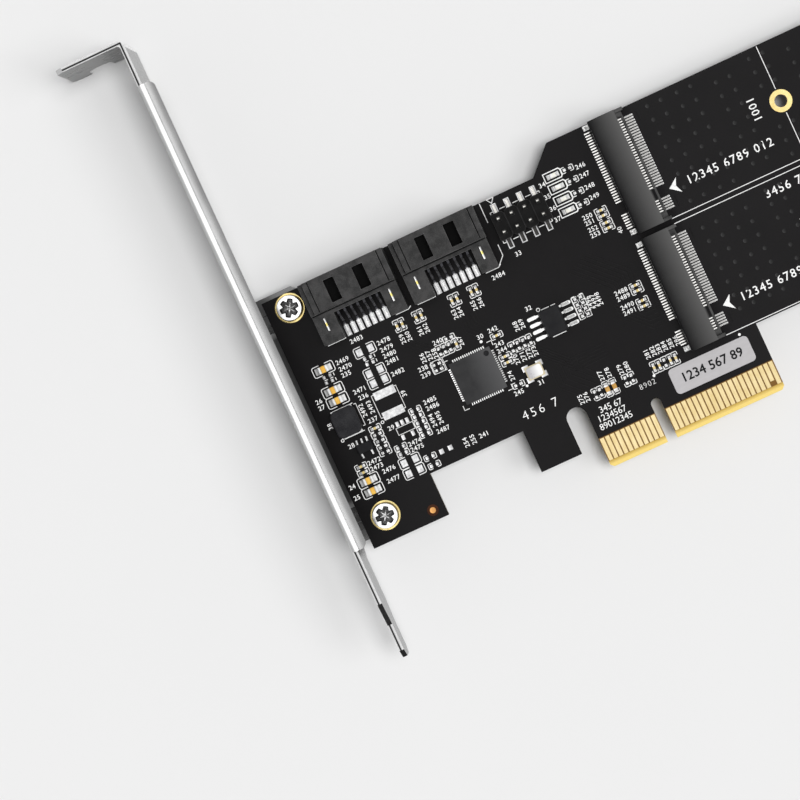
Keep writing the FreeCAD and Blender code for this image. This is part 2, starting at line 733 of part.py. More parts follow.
def port_housing(port_x):
    """Drive port moulding: shroud open at the card's edge, keyed tongue and two rear legs."""
    base = TOP + PORT_BASE
    deep = (SHROUD_REAR, PORT_EDGE)
    step = PORT_H - CROWN_STEP
    left, right = across(port_x, SHROUD_SIDES)
    crown_left, crown_right = across(port_x, SHROUD_CROWN)
    ledge = port_x + SIDE_LEDGE_LEFT
    shroud = extrude("y", [
        (ledge, base),
        (right, base),
        (right, TOP + step),
        (crown_right, TOP + step),
        (crown_right, TOP + PORT_H),
        (crown_left, TOP + PORT_H),
        (crown_left, TOP + step),
        (left, TOP + step),
        (left, TOP + SIDE_LEDGE_H),
        (ledge, TOP + SIDE_LEDGE_H),
    ], *deep)
    cuts = [box(across(port_x, CAVITY_SIDES), (CAVITY_BACK, PORT_EDGE + 1), above(CAVITY_LOW, CAVITY_HIGH))]
    for sides in WINDOWS:
        cuts.append(box(across(port_x, sides), WINDOW_Y, above(TONGUE_HIGH, PORT_H + 1)))
    shroud = shroud.cut(cuts)
    tongue_left, tongue_right = across(port_x, TONGUE_SIDES)
    key_left = port_x + TONGUE_KEY_LEFT
    tongue = extrude("y", [
        (tongue_left, TOP + TONGUE_LOW),
        (tongue_right, TOP + TONGUE_LOW),
        (tongue_right, TOP + TONGUE_KEY_HIGH),
        (key_left, TOP + TONGUE_KEY_HIGH),
        (key_left, TOP + TONGUE_HIGH),
        (tongue_left, TOP + TONGUE_HIGH),
    ], CAVITY_BACK, TONGUE_FRONT)
    legs = [box(across(port_x, sides), (PORT_REAR, SHROUD_REAR), (base, TOP + LEG_H)) for sides in PORT_LEGS]
    between = across(port_x, (PORT_LEGS[0][1], PORT_LEGS[1][0]))
    sill = box(between, (LEDGE_REAR, SHROUD_REAR), above(TONGUE_LOW, LEG_H))
    housing = joined([shroud, tongue, sill] + legs)
    pin_room = PORT_PINS * PORT_PITCH / 2
    pin_slit = box(across(port_x, (-pin_room, pin_room)), (SHROUD_REAR - 1, CAVITY_BACK),
                   above(TONGUE_LOW - PORT_PIN_T, TONGUE_LOW))
    locks = [box(around(port_x + x, LOCK_T), LOCK_Y, above(0, LEG_H + 1)) for x in BLADE_XS]
    return housing.cut([pin_slit] + locks)


def port_pins(port_x):
    """Seven contacts: under the tongue, through the rear wall and down to the board."""
    high = TOP + TONGUE_LOW
    low = high - PORT_PIN_T
    foot = TOP + FOIL
    lag = PORT_PIN_T / 2
    profile = [
        (PORT_PAD_Y[0], foot),
        (PORT_PIN_HEEL + lag, foot),
        (PORT_PIN_SHOULDER + lag, low),
        (PORT_PIN_TIP, low),
        (PORT_PIN_TIP, high),
        (PORT_PIN_SHOULDER - lag, high),
        (PORT_PIN_HEEL - lag, foot + PORT_PIN_T),
        (PORT_PAD_Y[0], foot + PORT_PIN_T),
    ]
    places = spread(PORT_PINS, PORT_PITCH, port_x)
    return [extrude("x", profile, *around(x, PORT_PIN_WIDTH)) for x in places]


def port_locks(port_x):
    """Metal blades in the rear legs, pressed through the board."""
    foot = TOP + PORT_BASE
    stem_end = UNDER - LOCK_REACH
    profile = [
        (LOCK_Y[0], foot),
        (LOCK_STEM_Y[0], foot),
        (LOCK_STEM_Y[0], stem_end),
        (sum(LOCK_STEM_Y) / 2, stem_end - LOCK_POINT),
        (LOCK_STEM_Y[1], stem_end),
        (LOCK_STEM_Y[1], foot),
        (LOCK_Y[1], foot),
        (LOCK_Y[1], TOP + LOCK_TOP),
        (LOCK_Y[0], TOP + LOCK_TOP),
    ]
    return [extrude("x", profile, *around(port_x + x, LOCK_T)) for x in BLADE_XS]


def header_posts():
    """Square posts of both rows, each bent outwards to a foot on the board."""
    foot = TOP + FOIL
    tip = TOP + POST_TOP
    posts = []
    for side in (1, -1):
        row = HEADER_Y + side * HEADER_PITCH / 2
        near = row - side * POST / 2
        far = row + side * POST / 2
        profile = [
            (near, foot),
            (HEADER_Y + side * POST_FOOT_REACH, foot),
            (HEADER_Y + side * POST_FOOT_REACH, foot + POST_FOOT_H),
            (far, foot + POST_FOOT_H),
            (far, tip - POST_TAPER),
            (far - side * POST_TAPER, tip),
            (near + side * POST_TAPER, tip),
            (near, tip - POST_TAPER),
        ]
        for x in spread(HEADER_COLUMNS, HEADER_PITCH, HEADER_X):
            posts.append(extrude("x", profile, *around(x, POST)))
    return posts


def header_base(posts):
    """Header moulding with a notch between each pair of columns, pierced by its posts."""
    x = around(HEADER_X, HEADER_COLUMNS * HEADER_PITCH)
    y = around(HEADER_Y, HEADER_DEPTH)
    base = box(x, y, above(HEADER_LOW, HEADER_H))
    notches = []
    for middle in spread(HEADER_COLUMNS - 1, HEADER_PITCH, HEADER_X):
        for edge, inward in ((y[0], 1), (y[1], -1)):
            notches.append(extrude("z", [
                (middle - HEADER_NOTCH, edge),
                (middle + HEADER_NOTCH, edge),
                (middle, edge + inward * HEADER_NOTCH),
            ], *above(HEADER_LOW, HEADER_H)))
    return base.cut(notches + posts)


def controller_chip():
    """Controller body, flat on the board."""
    x, y = CONTROLLER_XY
    return box(around(x, CONTROLLER_SIDE), around(y, CONTROLLER_SIDE), above(0, CONTROLLER_H))


def pad(x, y, wide, long):
    """Tinned copper pad on the component side."""
    return box(around(x, wide), around(y, long), above(0, FOIL))


def moulded_body(xy, size):
    """Chip moulding that tapers a little towards its top."""
    x = around(xy[0], size[0])
    y = around(xy[1], size[1])
    low = TOP + CHIP_GAP
    high = low + size[2]
    middle = (low + high) / 2
    steps = [
        (x[0], low),
        (x[1], low),
        (x[1], middle),
        (x[1] - CHIP_DRAFT, high),
        (x[0] + CHIP_DRAFT, high),
        (x[0], middle),
    ]
    return extrude("y", steps, *y)


def bent_lead(axis, edge, side, reach, rise, span):
    """Lead that leaves a chip's edge, drops and ends flat on its pad."""
    low = TOP
    knee = edge + side * LEAD_KNEE
    heel = edge + side * (LEAD_KNEE + LEAD_T)
    steps = [
        (edge, rise),
        (heel, rise),
        (heel, low + LEAD_T),
        (edge + side * reach, low + LEAD_T),
        (edge + side * reach, low),
        (knee, low),
        (knee, rise - LEAD_T),
        (edge, rise - LEAD_T),
    ]
    return extrude(axis, steps, *span)


def memory_leads():
    """Four leads on each long side of the memory chip."""
    x, y = MEMORY_XY
    rise = TOP + CHIP_GAP + MEMORY_SIZE[2] / 2
    leads = []
    for side in (1, -1):
        edge = x + side * MEMORY_SIZE[0] / 2
        for place in spread(MEMORY_SIDE_LEADS, MEMORY_PITCH, y):
            leads.append(bent_lead("y", edge, side, MEMORY_REACH, rise, around(place, MEMORY_LEAD)))
    return leads


def regulator_places(x):
    """Leads of a five-lead regulator: three along the upper edge, two along the lower."""
    left, right = around(x, 2 * REGULATOR_PITCH)
    return [(1, left), (1, x), (1, right), (-1, left), (-1, right)]


def regulator_leads():
    """Five leads of the regulator."""
    x, y = REGULATOR_XY
    rise = TOP + CHIP_GAP + REGULATOR_SIZE[2] / 2
    leads = []
    for side, place in regulator_places(x):
        edge = y + side * REGULATOR_SIZE[1] / 2
        leads.append(bent_lead("x", edge, side, REGULATOR_REACH, rise, around(place, REGULATOR_LEAD)))
    return leads


def inductor_body():
    """Inductor block with cut corners, standing on its two terminals."""
    height = above(TERMINAL_T, TERMINAL_T + INDUCTOR_SIZE[2])
    return cut_corner_block(INDUCTOR_XY, INDUCTOR_SIZE, INDUCTOR_CHAMFER, height)


def inductor_terminals():
    """Two flat terminals under the inductor's ends."""
    x, y = INDUCTOR_XY
    wide, long = INDUCTOR_PAD
    height = above(0, TERMINAL_T)
    return [box(around(x, wide), around(y + side * INDUCTOR_PAD_Y, long), height) for side in (1, -1)]


def crystal_base():
    """Ceramic base of the crystal."""
    x, y = CRYSTAL_XY
    return box(around(x, CRYSTAL_SIZE[0]), around(y, CRYSTAL_SIZE[1]), above(0, CRYSTAL_SIZE[2]))


def crystal_lid():
    """Metal lid of the crystal, with its corners cut."""
    low = CRYSTAL_SIZE[2]
    return cut_corner_block(CRYSTAL_XY, CRYSTAL_LID, CRYSTAL_LID_CHAMFER, above(low, low + CRYSTAL_LID[2]))


def light_pieces():
    """Bases, lenses and end terminals of the status lights."""
    long, wide, height = LIGHT_BASE
    bases = []
    lenses = []
    ends = []
    for y in LIGHT_YS:
        low, high = above(0, height)
        inner = long - 2 * LIGHT_BAND
        bases.append(box(around(LIGHT_X, inner), around(y, wide), (low, high)))
        for side in (-1, 1):
            end_x = LIGHT_X + side * (inner + LIGHT_BAND) / 2
            ends.append(box(around(end_x, LIGHT_BAND), around(y, wide), (low, high)))
        lens = box(around(LIGHT_X, LIGHT_LENS[0]), around(y, LIGHT_LENS[1]), (high, high + LIGHT_LENS[2]))
        lenses.append(lens)
    return bases, lenses, ends


def chip_part(xy, size, upright):
    """Body and two end terminals of a chip part; upright turns its length along Y."""
    long, wide, height, band = size
    inner = long - 2 * band
    z = above(0, height)

    def piece(offset, length):
        run = around(offset, length)
        if upright:
            return box(around(xy[0], wide), (xy[1] + run[0], xy[1] + run[1]), z)
        return box((xy[0] + run[0], xy[0] + run[1]), around(xy[1], wide), z)

    ends = [piece(side * (inner + band) / 2, band) for side in (1, -1)]
    return piece(0, inner), ends


def small_chip(xy, size, upright):
    """Chip part too small for separate terminals."""
    long, wide, height = size
    if upright:
        return box(around(xy[0], wide), around(xy[1], long), above(0, height))
    return box(around(xy[0], long), around(xy[1], wide), above(0, height))


def both(middle):
    """The two places of a pair of chip parts."""
    return (middle - PAIR_PITCH / 2, middle + PAIR_PITCH / 2)


def small_caps():
    """Places of the small capacitors, each with its direction."""
    upright = [(x, PORT_CAP_Y) for middle in PORT_CAP_PAIRS for x in both(middle)]
    upright += [(x, EDGE_PARTS_Y) for middle in EDGE_CAP_PAIRS for x in both(middle)]
    upright += LONE_CAPS_ALONG
    flat = [(SOCKET_CAP_X, y) for middle in SOCKET_CAP_PAIRS for y in both(middle)]
    flat += LONE_CAPS_ACROSS
    return [(xy, True) for xy in upright] + [(xy, False) for xy in flat]


def resistors():
    """Places of the resistors, each with its direction."""
    upright = [(x, STRAP_ROW[1]) for x in STRAP_ROW[0]]
    upright += [(x, CONTROL_ROW[1]) for x in CONTROL_ROW[0]]
    upright += [(x, EDGE_PARTS_Y) for x in EDGE_RESISTOR_XS]
    flat = [(LIGHT_RESISTOR_X, y) for y in LIGHT_YS]
    flat += [(MEMORY_COLUMN[0], y) for y in MEMORY_COLUMN[1]]
    flat += [(REGULATOR_COLUMN[0], y) for y in REGULATOR_COLUMN[1]]
    flat += STRAP_XY
    return [(xy, True) for xy in upright] + [(xy, False) for xy in flat]


def chip_group(places, size):
    """Bodies and terminals of like chip parts."""
    bodies = []
    ends = []
    for xy, upright in places:
        body, pair = chip_part(xy, size, upright)
        bodies.append(body)
        ends += pair
    return bodies, ends


def part_pads():
    """Pads that the leads of the drive ports and the header stand on."""
    pads = []
    for port_x in PORT_XS:
        for x in spread(PORT_PINS, PORT_PITCH, port_x):
            pads.append(box(around(x, PORT_PAD_WIDTH), PORT_PAD_Y, above(0, FOIL)))
    for x in spread(HEADER_COLUMNS, HEADER_PITCH, HEADER_X):
        for side in (1, -1):
            pads.append(pad(x, HEADER_Y + side * HEADER_PAD_Y, *HEADER_PAD))
    return pads


def empty_pads():
    """Pads of the places that are left without a part."""
    pads = []
    for side in (1, -1):
        pads += [pad(x + side * LARGE_PAD_X, y, *LARGE_PAD) for x, y in LARGE_EMPTY]
        pads += [pad(x + side * MIDDLE_PAD_X, y, *MIDDLE_PAD) for x, y in MIDDLE_EMPTY]
        pads.append(pad(EMPTY_INDUCTOR_XY[0], EMPTY_INDUCTOR_XY[1] + side * INDUCTOR_PAD_Y, *INDUCTOR_PAD))
    for side, x in regulator_places(EMPTY_REGULATOR_XY[0]):
        pads.append(pad(x, EMPTY_REGULATOR_XY[1] + side * REGULATOR_PAD_Y, *REGULATOR_PAD))
    return pads


def card_nodes():
    """Every node of the card with its solids."""
    posts = header_posts()
    light_bases, light_lenses, light_ends = light_pieces()
    large_bodies, large_ends = chip_group([(xy, False) for xy in LARGE_CAPS], LARGE)
    middle_bodies, middle_ends = chip_group([(xy, True) for xy in MIDDLE_CAPS], MIDDLE)
    mark = extrude("z", polygon(RIM_SIDES, MARK_R), *above(0, FOIL))
    mark.translate(Vector(*MARK_XY, 0))
    nodes = {
        "circuit_board": [circuit_board()],
        "edge_contacts_front": edge_contacts(1),
        "edge_contacts_rear": edge_contacts(-1),
        "slot_bracket": [bracket()],
        "board_screws": [board_screw(x, y) for x, y in SCREW_XY],
        "screw_rims": [plated_rim(x, y, SCREW_HOLE_R, SCREW_RIM_R) for x, y in SCREW_XY],
        "drive_hole_rims": [plated_rim(x, y, DRIVE_HOLE_R, DRIVE_RIM_R) for x, y in drive_hole_places()],
        "header_base": [header_base(posts)],
        "header_posts": posts,
        "controller_chip": [controller_chip()],
        "memory_chip": [moulded_body(MEMORY_XY, MEMORY_SIZE)],
        "memory_leads": memory_leads(),
        "regulator_chip": [moulded_body(REGULATOR_XY, REGULATOR_SIZE)],
        "regulator_leads": regulator_leads(),
        "inductor_body": [inductor_body()],
        "inductor_terminals": inductor_terminals(),
        "crystal_base": [crystal_base()],
        "crystal_lid": [crystal_lid()],
        "light_bases": light_bases,
        "light_lenses": light_lenses,
        "light_terminals": light_ends,
        "large_capacitors": large_bodies,
        "large_capacitor_ends": large_ends,
        "middle_capacitors": middle_bodies,
        "middle_capacitor_ends": middle_ends,
        "small_capacitors": [small_chip(xy, SMALL, upright) for xy, upright in small_caps()],
        "resistors": [small_chip(xy, FLAT, upright) for xy, upright in resistors()],
        "part_pads": part_pads(),
        "empty_pads": empty_pads(),
        "alignment_mark": [mark],
    }
    for number, port_x in enumerate(PORT_XS, 1):
        nodes["drive_port_housing_" + str(number)] = [port_housing(port_x)]
        nodes["drive_port_contacts_" + str(number)] = port_pins(port_x)
        nodes["drive_port_locks_" + str(number)] = port_locks(port_x)
    for number, row in enumerate(SOCKET_ROWS, 1):
        nodes["ssd_socket_housing_" + str(number)] = [socket_housing(row)]
        nodes["ssd_socket_upper_contacts_" + str(number)] = upper_blades(row)
        nodes["ssd_socket_lower_contacts_" + str(number)] = lower_blades(row)
        nodes["ssd_socket_clamps_" + str(number)] = socket_clamps(row)
    return nodes


os.makedirs("parts", exist_ok=True)
for node, solids in card_nodes().items():
    save(node, solids)
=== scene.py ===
"""The dressed model of a drive controller card: finishes, print, solder, softened edges and a studio."""

import logging
import math
from collections.abc import Callable, Iterable, Sequence
from dataclasses import dataclass, field, replace
from enum import Enum
from functools import cached_property

import bpy
from mathutils import Matrix, Vector


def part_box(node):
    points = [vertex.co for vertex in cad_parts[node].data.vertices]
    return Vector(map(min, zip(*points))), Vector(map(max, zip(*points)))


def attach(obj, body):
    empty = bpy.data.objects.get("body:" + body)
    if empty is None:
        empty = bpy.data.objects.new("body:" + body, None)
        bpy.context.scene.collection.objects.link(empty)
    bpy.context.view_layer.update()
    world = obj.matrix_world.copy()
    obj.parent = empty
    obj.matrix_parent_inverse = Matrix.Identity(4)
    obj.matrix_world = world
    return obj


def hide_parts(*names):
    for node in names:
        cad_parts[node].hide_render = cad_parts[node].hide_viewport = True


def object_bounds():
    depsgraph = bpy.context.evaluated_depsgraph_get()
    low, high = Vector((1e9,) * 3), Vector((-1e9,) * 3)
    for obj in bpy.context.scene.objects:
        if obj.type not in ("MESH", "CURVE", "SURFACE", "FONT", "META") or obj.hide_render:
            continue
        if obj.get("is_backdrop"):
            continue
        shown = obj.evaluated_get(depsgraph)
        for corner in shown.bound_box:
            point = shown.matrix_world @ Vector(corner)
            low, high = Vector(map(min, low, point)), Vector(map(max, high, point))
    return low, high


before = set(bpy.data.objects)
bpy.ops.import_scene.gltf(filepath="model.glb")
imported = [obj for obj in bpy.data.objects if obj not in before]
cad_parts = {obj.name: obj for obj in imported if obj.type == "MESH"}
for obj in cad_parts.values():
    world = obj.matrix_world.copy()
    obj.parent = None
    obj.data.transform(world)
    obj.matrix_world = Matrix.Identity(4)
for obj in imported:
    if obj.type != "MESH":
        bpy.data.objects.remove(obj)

LOG = logging.getLogger("controller_card")
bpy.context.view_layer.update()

# A millimetre, and the distance under which corners are one, in metres
MM = 0.001
MERGE = 2e-6

# Angles in degrees: flatter edges are dissolved, and sharper ones are rounded
FLAT_ANGLE = 0.5
SHARP_ANGLE = 35.0

# The least Z of a direction that points upwards
UPWARDS = 0.9

# The distance in millimetres under which places count as the same
NEAR = 0.01

# The mean of a cloudy pattern
MEAN = 0.5

# Heights in millimetres
BOARD_UNDER, BOARD_TOP = (corner.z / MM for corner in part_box("circuit_board"))
FOIL = 0.05

# Steps are pairs of a distance or an angle and a scale or a tone. A group has a place along one axis,
# a count of digits, and the places along the other axis.
Point = tuple[float, float]
Triple = tuple[float, float, float]
Colour = Triple
Run = tuple[Point, ...]
Steps = tuple[Point, ...]
Group = tuple[float, int, tuple[float, ...]]
Test = Callable[[Vector, Vector], bool]
Piece = bpy.types.Object


class Pick(Enum):
    """What is selected in edit mode."""

    CORNERS = "VERT"
    EDGES = "EDGE"
    FACES = "FACE"


class Facing(Enum):
    """The way a feature points, as a turn from +X in degrees."""

    RIGHT = 0
    UP = 90
    LEFT = 180
    DOWN = 270

    @property
    def turn(self) -> Matrix:
        """The turn about Z."""
        return Matrix.Rotation(math.radians(self.value), 4, "Z")

    @property
    def way(self) -> Vector:
        """The direction as a vector of length one."""
        return self.turn @ Vector((1.0, 0.0, 0.0))


@dataclass(frozen=True)
class Span:
    """The box round one solid of a node, in millimetres."""

    low: Vector
    high: Vector

    @property
    def middle(self) -> Vector:
        """The centre of the box."""
        return (self.low + self.high) / 2

    @property
    def size(self) -> Vector:
        """The three sides of the box."""
        return self.high - self.low

    @property
    def upright(self) -> bool:
        """Whether the long side runs along Y."""
        return self.size.y > self.size.x


def solids(name: str) -> list[Span]:
    """Find the separate solids of a CAD node.

    Args:
        name: The node's name.

    Returns:
        One box for each solid.
    """
    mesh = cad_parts[name].data
    spots: dict[tuple[int, int, int], int] = {}
    index = [spots.setdefault(tuple(round(c / MERGE) for c in v.co), len(spots)) for v in mesh.vertices]
    leader = list(range(len(spots)))

    def lead(item: int) -> int:
        """Follow a corner to the first corner of its solid.

        Args:
            item: The corner's number.

        Returns:
            The first corner's number.
        """
        while leader[item] != item:
            leader[item] = leader[leader[item]]
            item = leader[item]
        return item

    for face in mesh.polygons:
        first, *others = (index[v] for v in face.vertices)
        for other in others:
            leader[lead(other)] = lead(first)
    groups: dict[int, list[Vector]] = {}
    for vertex, item in zip(mesh.vertices, index):
        groups.setdefault(lead(item), []).append(vertex.co / MM)
    return [Span(Vector(map(min, *group)), Vector(map(max, *group))) for group in groups.values()]


def place(spot: Sequence[float], facing: Facing = Facing.RIGHT, scale: Triple = (1, 1, 1)) -> Matrix:
    """Make the matrix that takes a template to a place in millimetres, turned and scaled."""
    return Matrix.Translation(Vector(spot) * MM) @ facing.turn @ Matrix.Diagonal((*scale, 1.0))


class Bench:
    """The modelling moves that the sub-assemblies share."""

    @staticmethod
    def clear() -> None:
        """Leave edit mode with nothing selected."""
        if bpy.context.mode != "OBJECT":
            bpy.ops.object.mode_set(mode="OBJECT")
        bpy.ops.object.select_all(action="DESELECT")

    @staticmethod
    def take(piece: Piece) -> None:
        """Select one piece alone and make it active.

        Args:
            piece: The piece.
        """
        Bench.clear()
        piece.select_set(True)
        bpy.context.view_layer.objects.active = piece

    @staticmethod
    def added(name: str) -> Piece:
        """Name the primitive just added and move its place into its mesh.

        Args:
            name: The piece's name.

        Returns:
            The piece.
        """
        piece = bpy.context.active_object
        piece.name = name
        piece.data.name = name
        bpy.ops.object.transform_apply(location=True, rotation=True, scale=True)
        return piece

    @staticmethod
    def block(name: str, low: Sequence[float], high: Sequence[float]) -> Piece:
        """Add a cube between two corners.

        Args:
            name: The piece's name.
            low: The lowest corner in millimetres.
            high: The highest corner in millimetres.

        Returns:
            The piece.
        """
        Bench.clear()
        middle = (Vector(low) + Vector(high)) / 2 * MM
        bpy.ops.mesh.primitive_cube_add(size=1, location=middle, scale=(Vector(high) - Vector(low)) * MM)
        return Bench.added(name)

    @staticmethod
    def circle(name: str, radius: float, height: float, sides: int, filled: bool) -> Piece:
        """Add a circle about the Z axis.

        Args:
            name: The piece's name.
            radius: Its radius in millimetres.
            height: Its Z in millimetres.
            sides: How many corners it has.
            filled: Whether it has a face.

        Returns:
            The piece.
        """
        Bench.clear()
        fill = "NGON" if filled else "NOTHING"
        spot = (0.0, 0.0, height * MM)
        bpy.ops.mesh.primitive_circle_add(vertices=sides, radius=radius * MM, fill_type=fill, location=spot)
        return Bench.added(name)

    @staticmethod
    def edit(piece: Piece, pick: Pick, test: Test) -> None:
        """Open a piece in edit mode with what passes a test selected.

        Args:
            piece: The piece.
            pick: What is tested and selected.
            test: Takes a place in millimetres and a normal or an edge's direction.
        """
        Bench.take(piece)
        bpy.ops.object.mode_set(mode="EDIT")
        bpy.ops.mesh.select_mode(type=pick.value)
        bpy.ops.mesh.select_all(action="DESELECT")
        bpy.ops.object.mode_set(mode="OBJECT")
        mesh = piece.data
        if pick is Pick.CORNERS:
            for corner in mesh.vertices:
                corner.select = test(corner.co / MM, corner.normal)
        elif pick is Pick.EDGES:
            for edge in mesh.edges:
                start, end = (mesh.vertices[v].co / MM for v in edge.vertices)
                edge.select = test((start + end) / 2, (end - start).normalized())
        else:
            for face in mesh.polygons:
                face.select = test(face.center / MM, face.normal)
        bpy.ops.object.mode_set(mode="EDIT")

    @staticmethod
    def close(outward: bool = False) -> None:
        """Leave edit mode.

        Args:
            outward: Whether all faces are turned outwards first.
        """
        if outward:
            bpy.ops.mesh.select_all(action="SELECT")
            bpy.ops.mesh.normals_make_consistent(inside=False)
        bpy.ops.object.mode_set(mode="OBJECT")

    @staticmethod
    def everything(spot: Vector, way: Vector) -> bool:
        """Pass any corner, edge or face."""
        return True

    @staticmethod
    def rise(height: float, scale: float = 1.0) -> None:
        """Extrude the selected face upwards by millimetres and scale its far end."""
        bpy.ops.mesh.extrude_region_move(TRANSFORM_OT_translate={"value": (0, 0, height * MM)})
        bpy.ops.transform.resize(value=(scale, scale, 1))

    @staticmethod
    def shift(x: float, y: float, z: float) -> None:
        """Move what is selected by millimetres."""
        bpy.ops.transform.translate(value=(x * MM, y * MM, z * MM))

    @staticmethod
    def heap(
        name: str, radius: float, base: float, sides: int, rises: Steps, outward: bool = False
    ) -> Piece:
        """Model a round shape about the Z axis from a disc that rises in steps.

        Args:
            name: The piece's name.
            radius: The disc's radius in millimetres.
            base: The disc's Z in millimetres.
            sides: How many sides it has.
            rises: Each step's height in millimetres, and the size of its far end over its near end's.
            outward: Whether all faces are turned outwards.

        Returns:
            The piece.
        """
        piece = Bench.circle(name, radius, base, sides, True)
        Bench.edit(piece, Pick.FACES, Bench.everything)
        for height, scale in rises:
            Bench.rise(height, scale)
        Bench.close(outward)
        return piece

    @staticmethod
    def turned(name: str, sides: int, profile: Run) -> Piece:
        """Turn a profile about the Z axis.

        Args:
            name: The piece's name.
            sides: How many sides it has.
            profile: The radius and the Z of the profile's corners in millimetres.

        Returns:
            The piece.
        """
        piece = Bench.circle(name, *profile[0], sides, False)
        Bench.edit(piece, Pick.CORNERS, Bench.everything)
        for (near, start), (far, end) in zip(profile, profile[1:]):
            bpy.ops.mesh.extrude_edges_move(TRANSFORM_OT_translate={"value": (0, 0, (end - start) * MM)})
            bpy.ops.transform.resize(value=(far / near, far / near, 1))
        Bench.close(outward=True)
        return piece

    @staticmethod
    def slab(name: str, low: Sequence[float], high: Sequence[float], corner: float, steps: int) -> Piece:
        """Add a block with round upright edges.

        Args:
            name: The piece's name.
            low: The lowest corner in millimetres.
            high: The highest corner in millimetres.
            corner: How far its round edges reach, in millimetres.
            steps: How many faces go round an edge.

        Returns:
            The piece.
        """
        piece = Bench.block(name, low, high)
        Bench.edit(piece, Pick.EDGES, lambda spot, way: abs(way.z) > UPWARDS)
        bpy.ops.mesh.bevel(offset=corner * MM, segments=steps, affect="EDGES")
        Bench.close()
        return piece

    @staticmethod
    def cut(piece: Piece, cutter: Piece) -> None:
        """Cut the cutter's shape out of a piece, and remove the cutter."""
        Bench.apply(piece, "BOOLEAN", operation="DIFFERENCE", object=cutter, solver="EXACT")
        bpy.data.objects.remove(cutter)

    @staticmethod
    def apply(piece: Piece, kind: str, **settings: object) -> None:
        """Add a modifier to a piece and apply it.

        Args:
            piece: The piece.
            kind: The modifier's type.
            settings: The modifier's own settings.
        """
        Bench.take(piece)
        modifier = piece.modifiers.new(kind.title(), kind)
        for setting, value in settings.items():
            setattr(modifier, setting, value)
        bpy.ops.object.modifier_apply(modifier=modifier.name)

    @staticmethod
    def round_edges(piece: Piece, width: float, steps: int = 2) -> None:
        """Bevel a piece's sharp edges and shade the rest smooth.

        Args:
            piece: The piece.
            width: The bevel's width in millimetres.
            steps: How many faces go round an edge.
        """
        Bench.apply(piece, "BEVEL", width=width * MM, segments=steps, limit_method="ANGLE",
                    angle_limit=math.radians(SHARP_ANGLE), use_clamp_overlap=True)
        Bench.smooth(piece)

    @staticmethod
    def smooth(piece: Piece, angle: float = SHARP_ANGLE) -> None:
        """Shade a piece smooth under an angle in degrees, with its large faces kept flat.

        Args:
            piece: The piece.
            angle: Sharper edges stay sharp.
        """
        Bench.take(piece)
        bpy.ops.object.shade_smooth_by_angle(angle=math.radians(angle))
        Bench.apply(piece, "WEIGHTED_NORMAL", keep_sharp=True)

    @staticmethod
    def join(name: str, pieces: Sequence[Piece]) -> Piece:
        """Join pieces into one.

        Args:
            name: The joined piece's name.
            pieces: The pieces, which all have their place in their mesh.

        Returns:
            The joined piece.
        """
        Bench.clear()
        for piece in pieces:
            piece.select_set(True)
        bpy.context.view_layer.objects.active = pieces[0]
        if len(pieces) > 1:
            bpy.ops.object.join()
        pieces[0].name = name
        pieces[0].data.name = name
        return pieces[0]

    @staticmethod
    def copied(name: str, mesh: bpy.types.Mesh, spot: Matrix | None = None) -> Piece:
        """Make a new object with its own copy of a mesh.

        Args:
            name: The new object's name.
            mesh: The mesh to copy.
            spot: Where the copy goes, or None to leave it.

        Returns:
            The new object.
        """
        piece = bpy.data.objects.new(name, mesh.copy())
        if spot is not None:
            piece.data.transform(spot)
        bpy.context.scene.collection.objects.link(piece)
        return piece

    @staticmethod
    def stamp(name: str, template: Piece, places: Iterable[Matrix]) -> Piece:
        """Copy a template to many places and join the copies.

        Args:
            name: The joined piece's name.
            template: The shape, which is removed afterwards.
            places: Where the copies go.

        Returns:
            The joined piece.
        """
        copies = [Bench.copied(name, template.data, spot) for spot in places]
        bpy.data.objects.remove(template)
        return Bench.join(name, copies)

    @staticmethod
    def soften(name: str, node: str, width: float, steps: int = 2) -> Piece:
        """Model a piece from a CAD node with its edges rounded.

        Args:
            name: The piece's name.
            node: The node that the piece stands for.
            width: The width of its rounded edges in millimetres.
            steps: How many faces go round an edge.

        Returns:
            The piece.
        """
        piece = Bench.join(name, [Bench.copied(name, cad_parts[node].data)])
        Bench.edit(piece, Pick.FACES, Bench.everything)
        bpy.ops.mesh.remove_doubles(threshold=MERGE)
        bpy.ops.mesh.dissolve_limited(angle_limit=math.radians(FLAT_ANGLE))
        Bench.close()
        Bench.round_edges(piece, width, steps)
        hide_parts(node)
        return piece

    @staticmethod
    def dress(piece: Piece, finish: "Finish", slot: str) -> None:
        """Give a piece its finish and let it ride on the card.

        Args:
            piece: The piece, with its place in its mesh.
            finish: Its finish.
            slot: The record's slot for that finish; not used.
        """
        piece.data.materials.clear()
        piece.data.materials.append(finish.material())
        piece.data.polygons.foreach_set("material_index", [0] * len(piece.data.polygons))
        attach(piece, "root")
        LOG.info("%s: %d faces", piece.name, len(piece.data.polygons))

    @staticmethod
    def repaint(piece: Piece, finish: "Finish", test: Test) -> None:
        """Give some faces of a dressed piece another finish.

        Args:
            piece: The piece.
            finish: The other finish.
            test: Takes a face's place in millimetres and its normal.
        """
        piece.data.materials.append(finish.material())
        for face in piece.data.polygons:
            if test(face.center / MM, face.normal):
                face.material_index = len(piece.data.materials) - 1

    @staticmethod
    def coat(node: str, finish: "Finish") -> None:
        """Give a CAD node that is shown as it is its finish.

        Args:
            node: The node.
            finish: Its finish.
        """
        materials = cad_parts[node].data.materials
        materials.clear()
        materials.append(finish.material())
        LOG.info("%s: own solid", node)


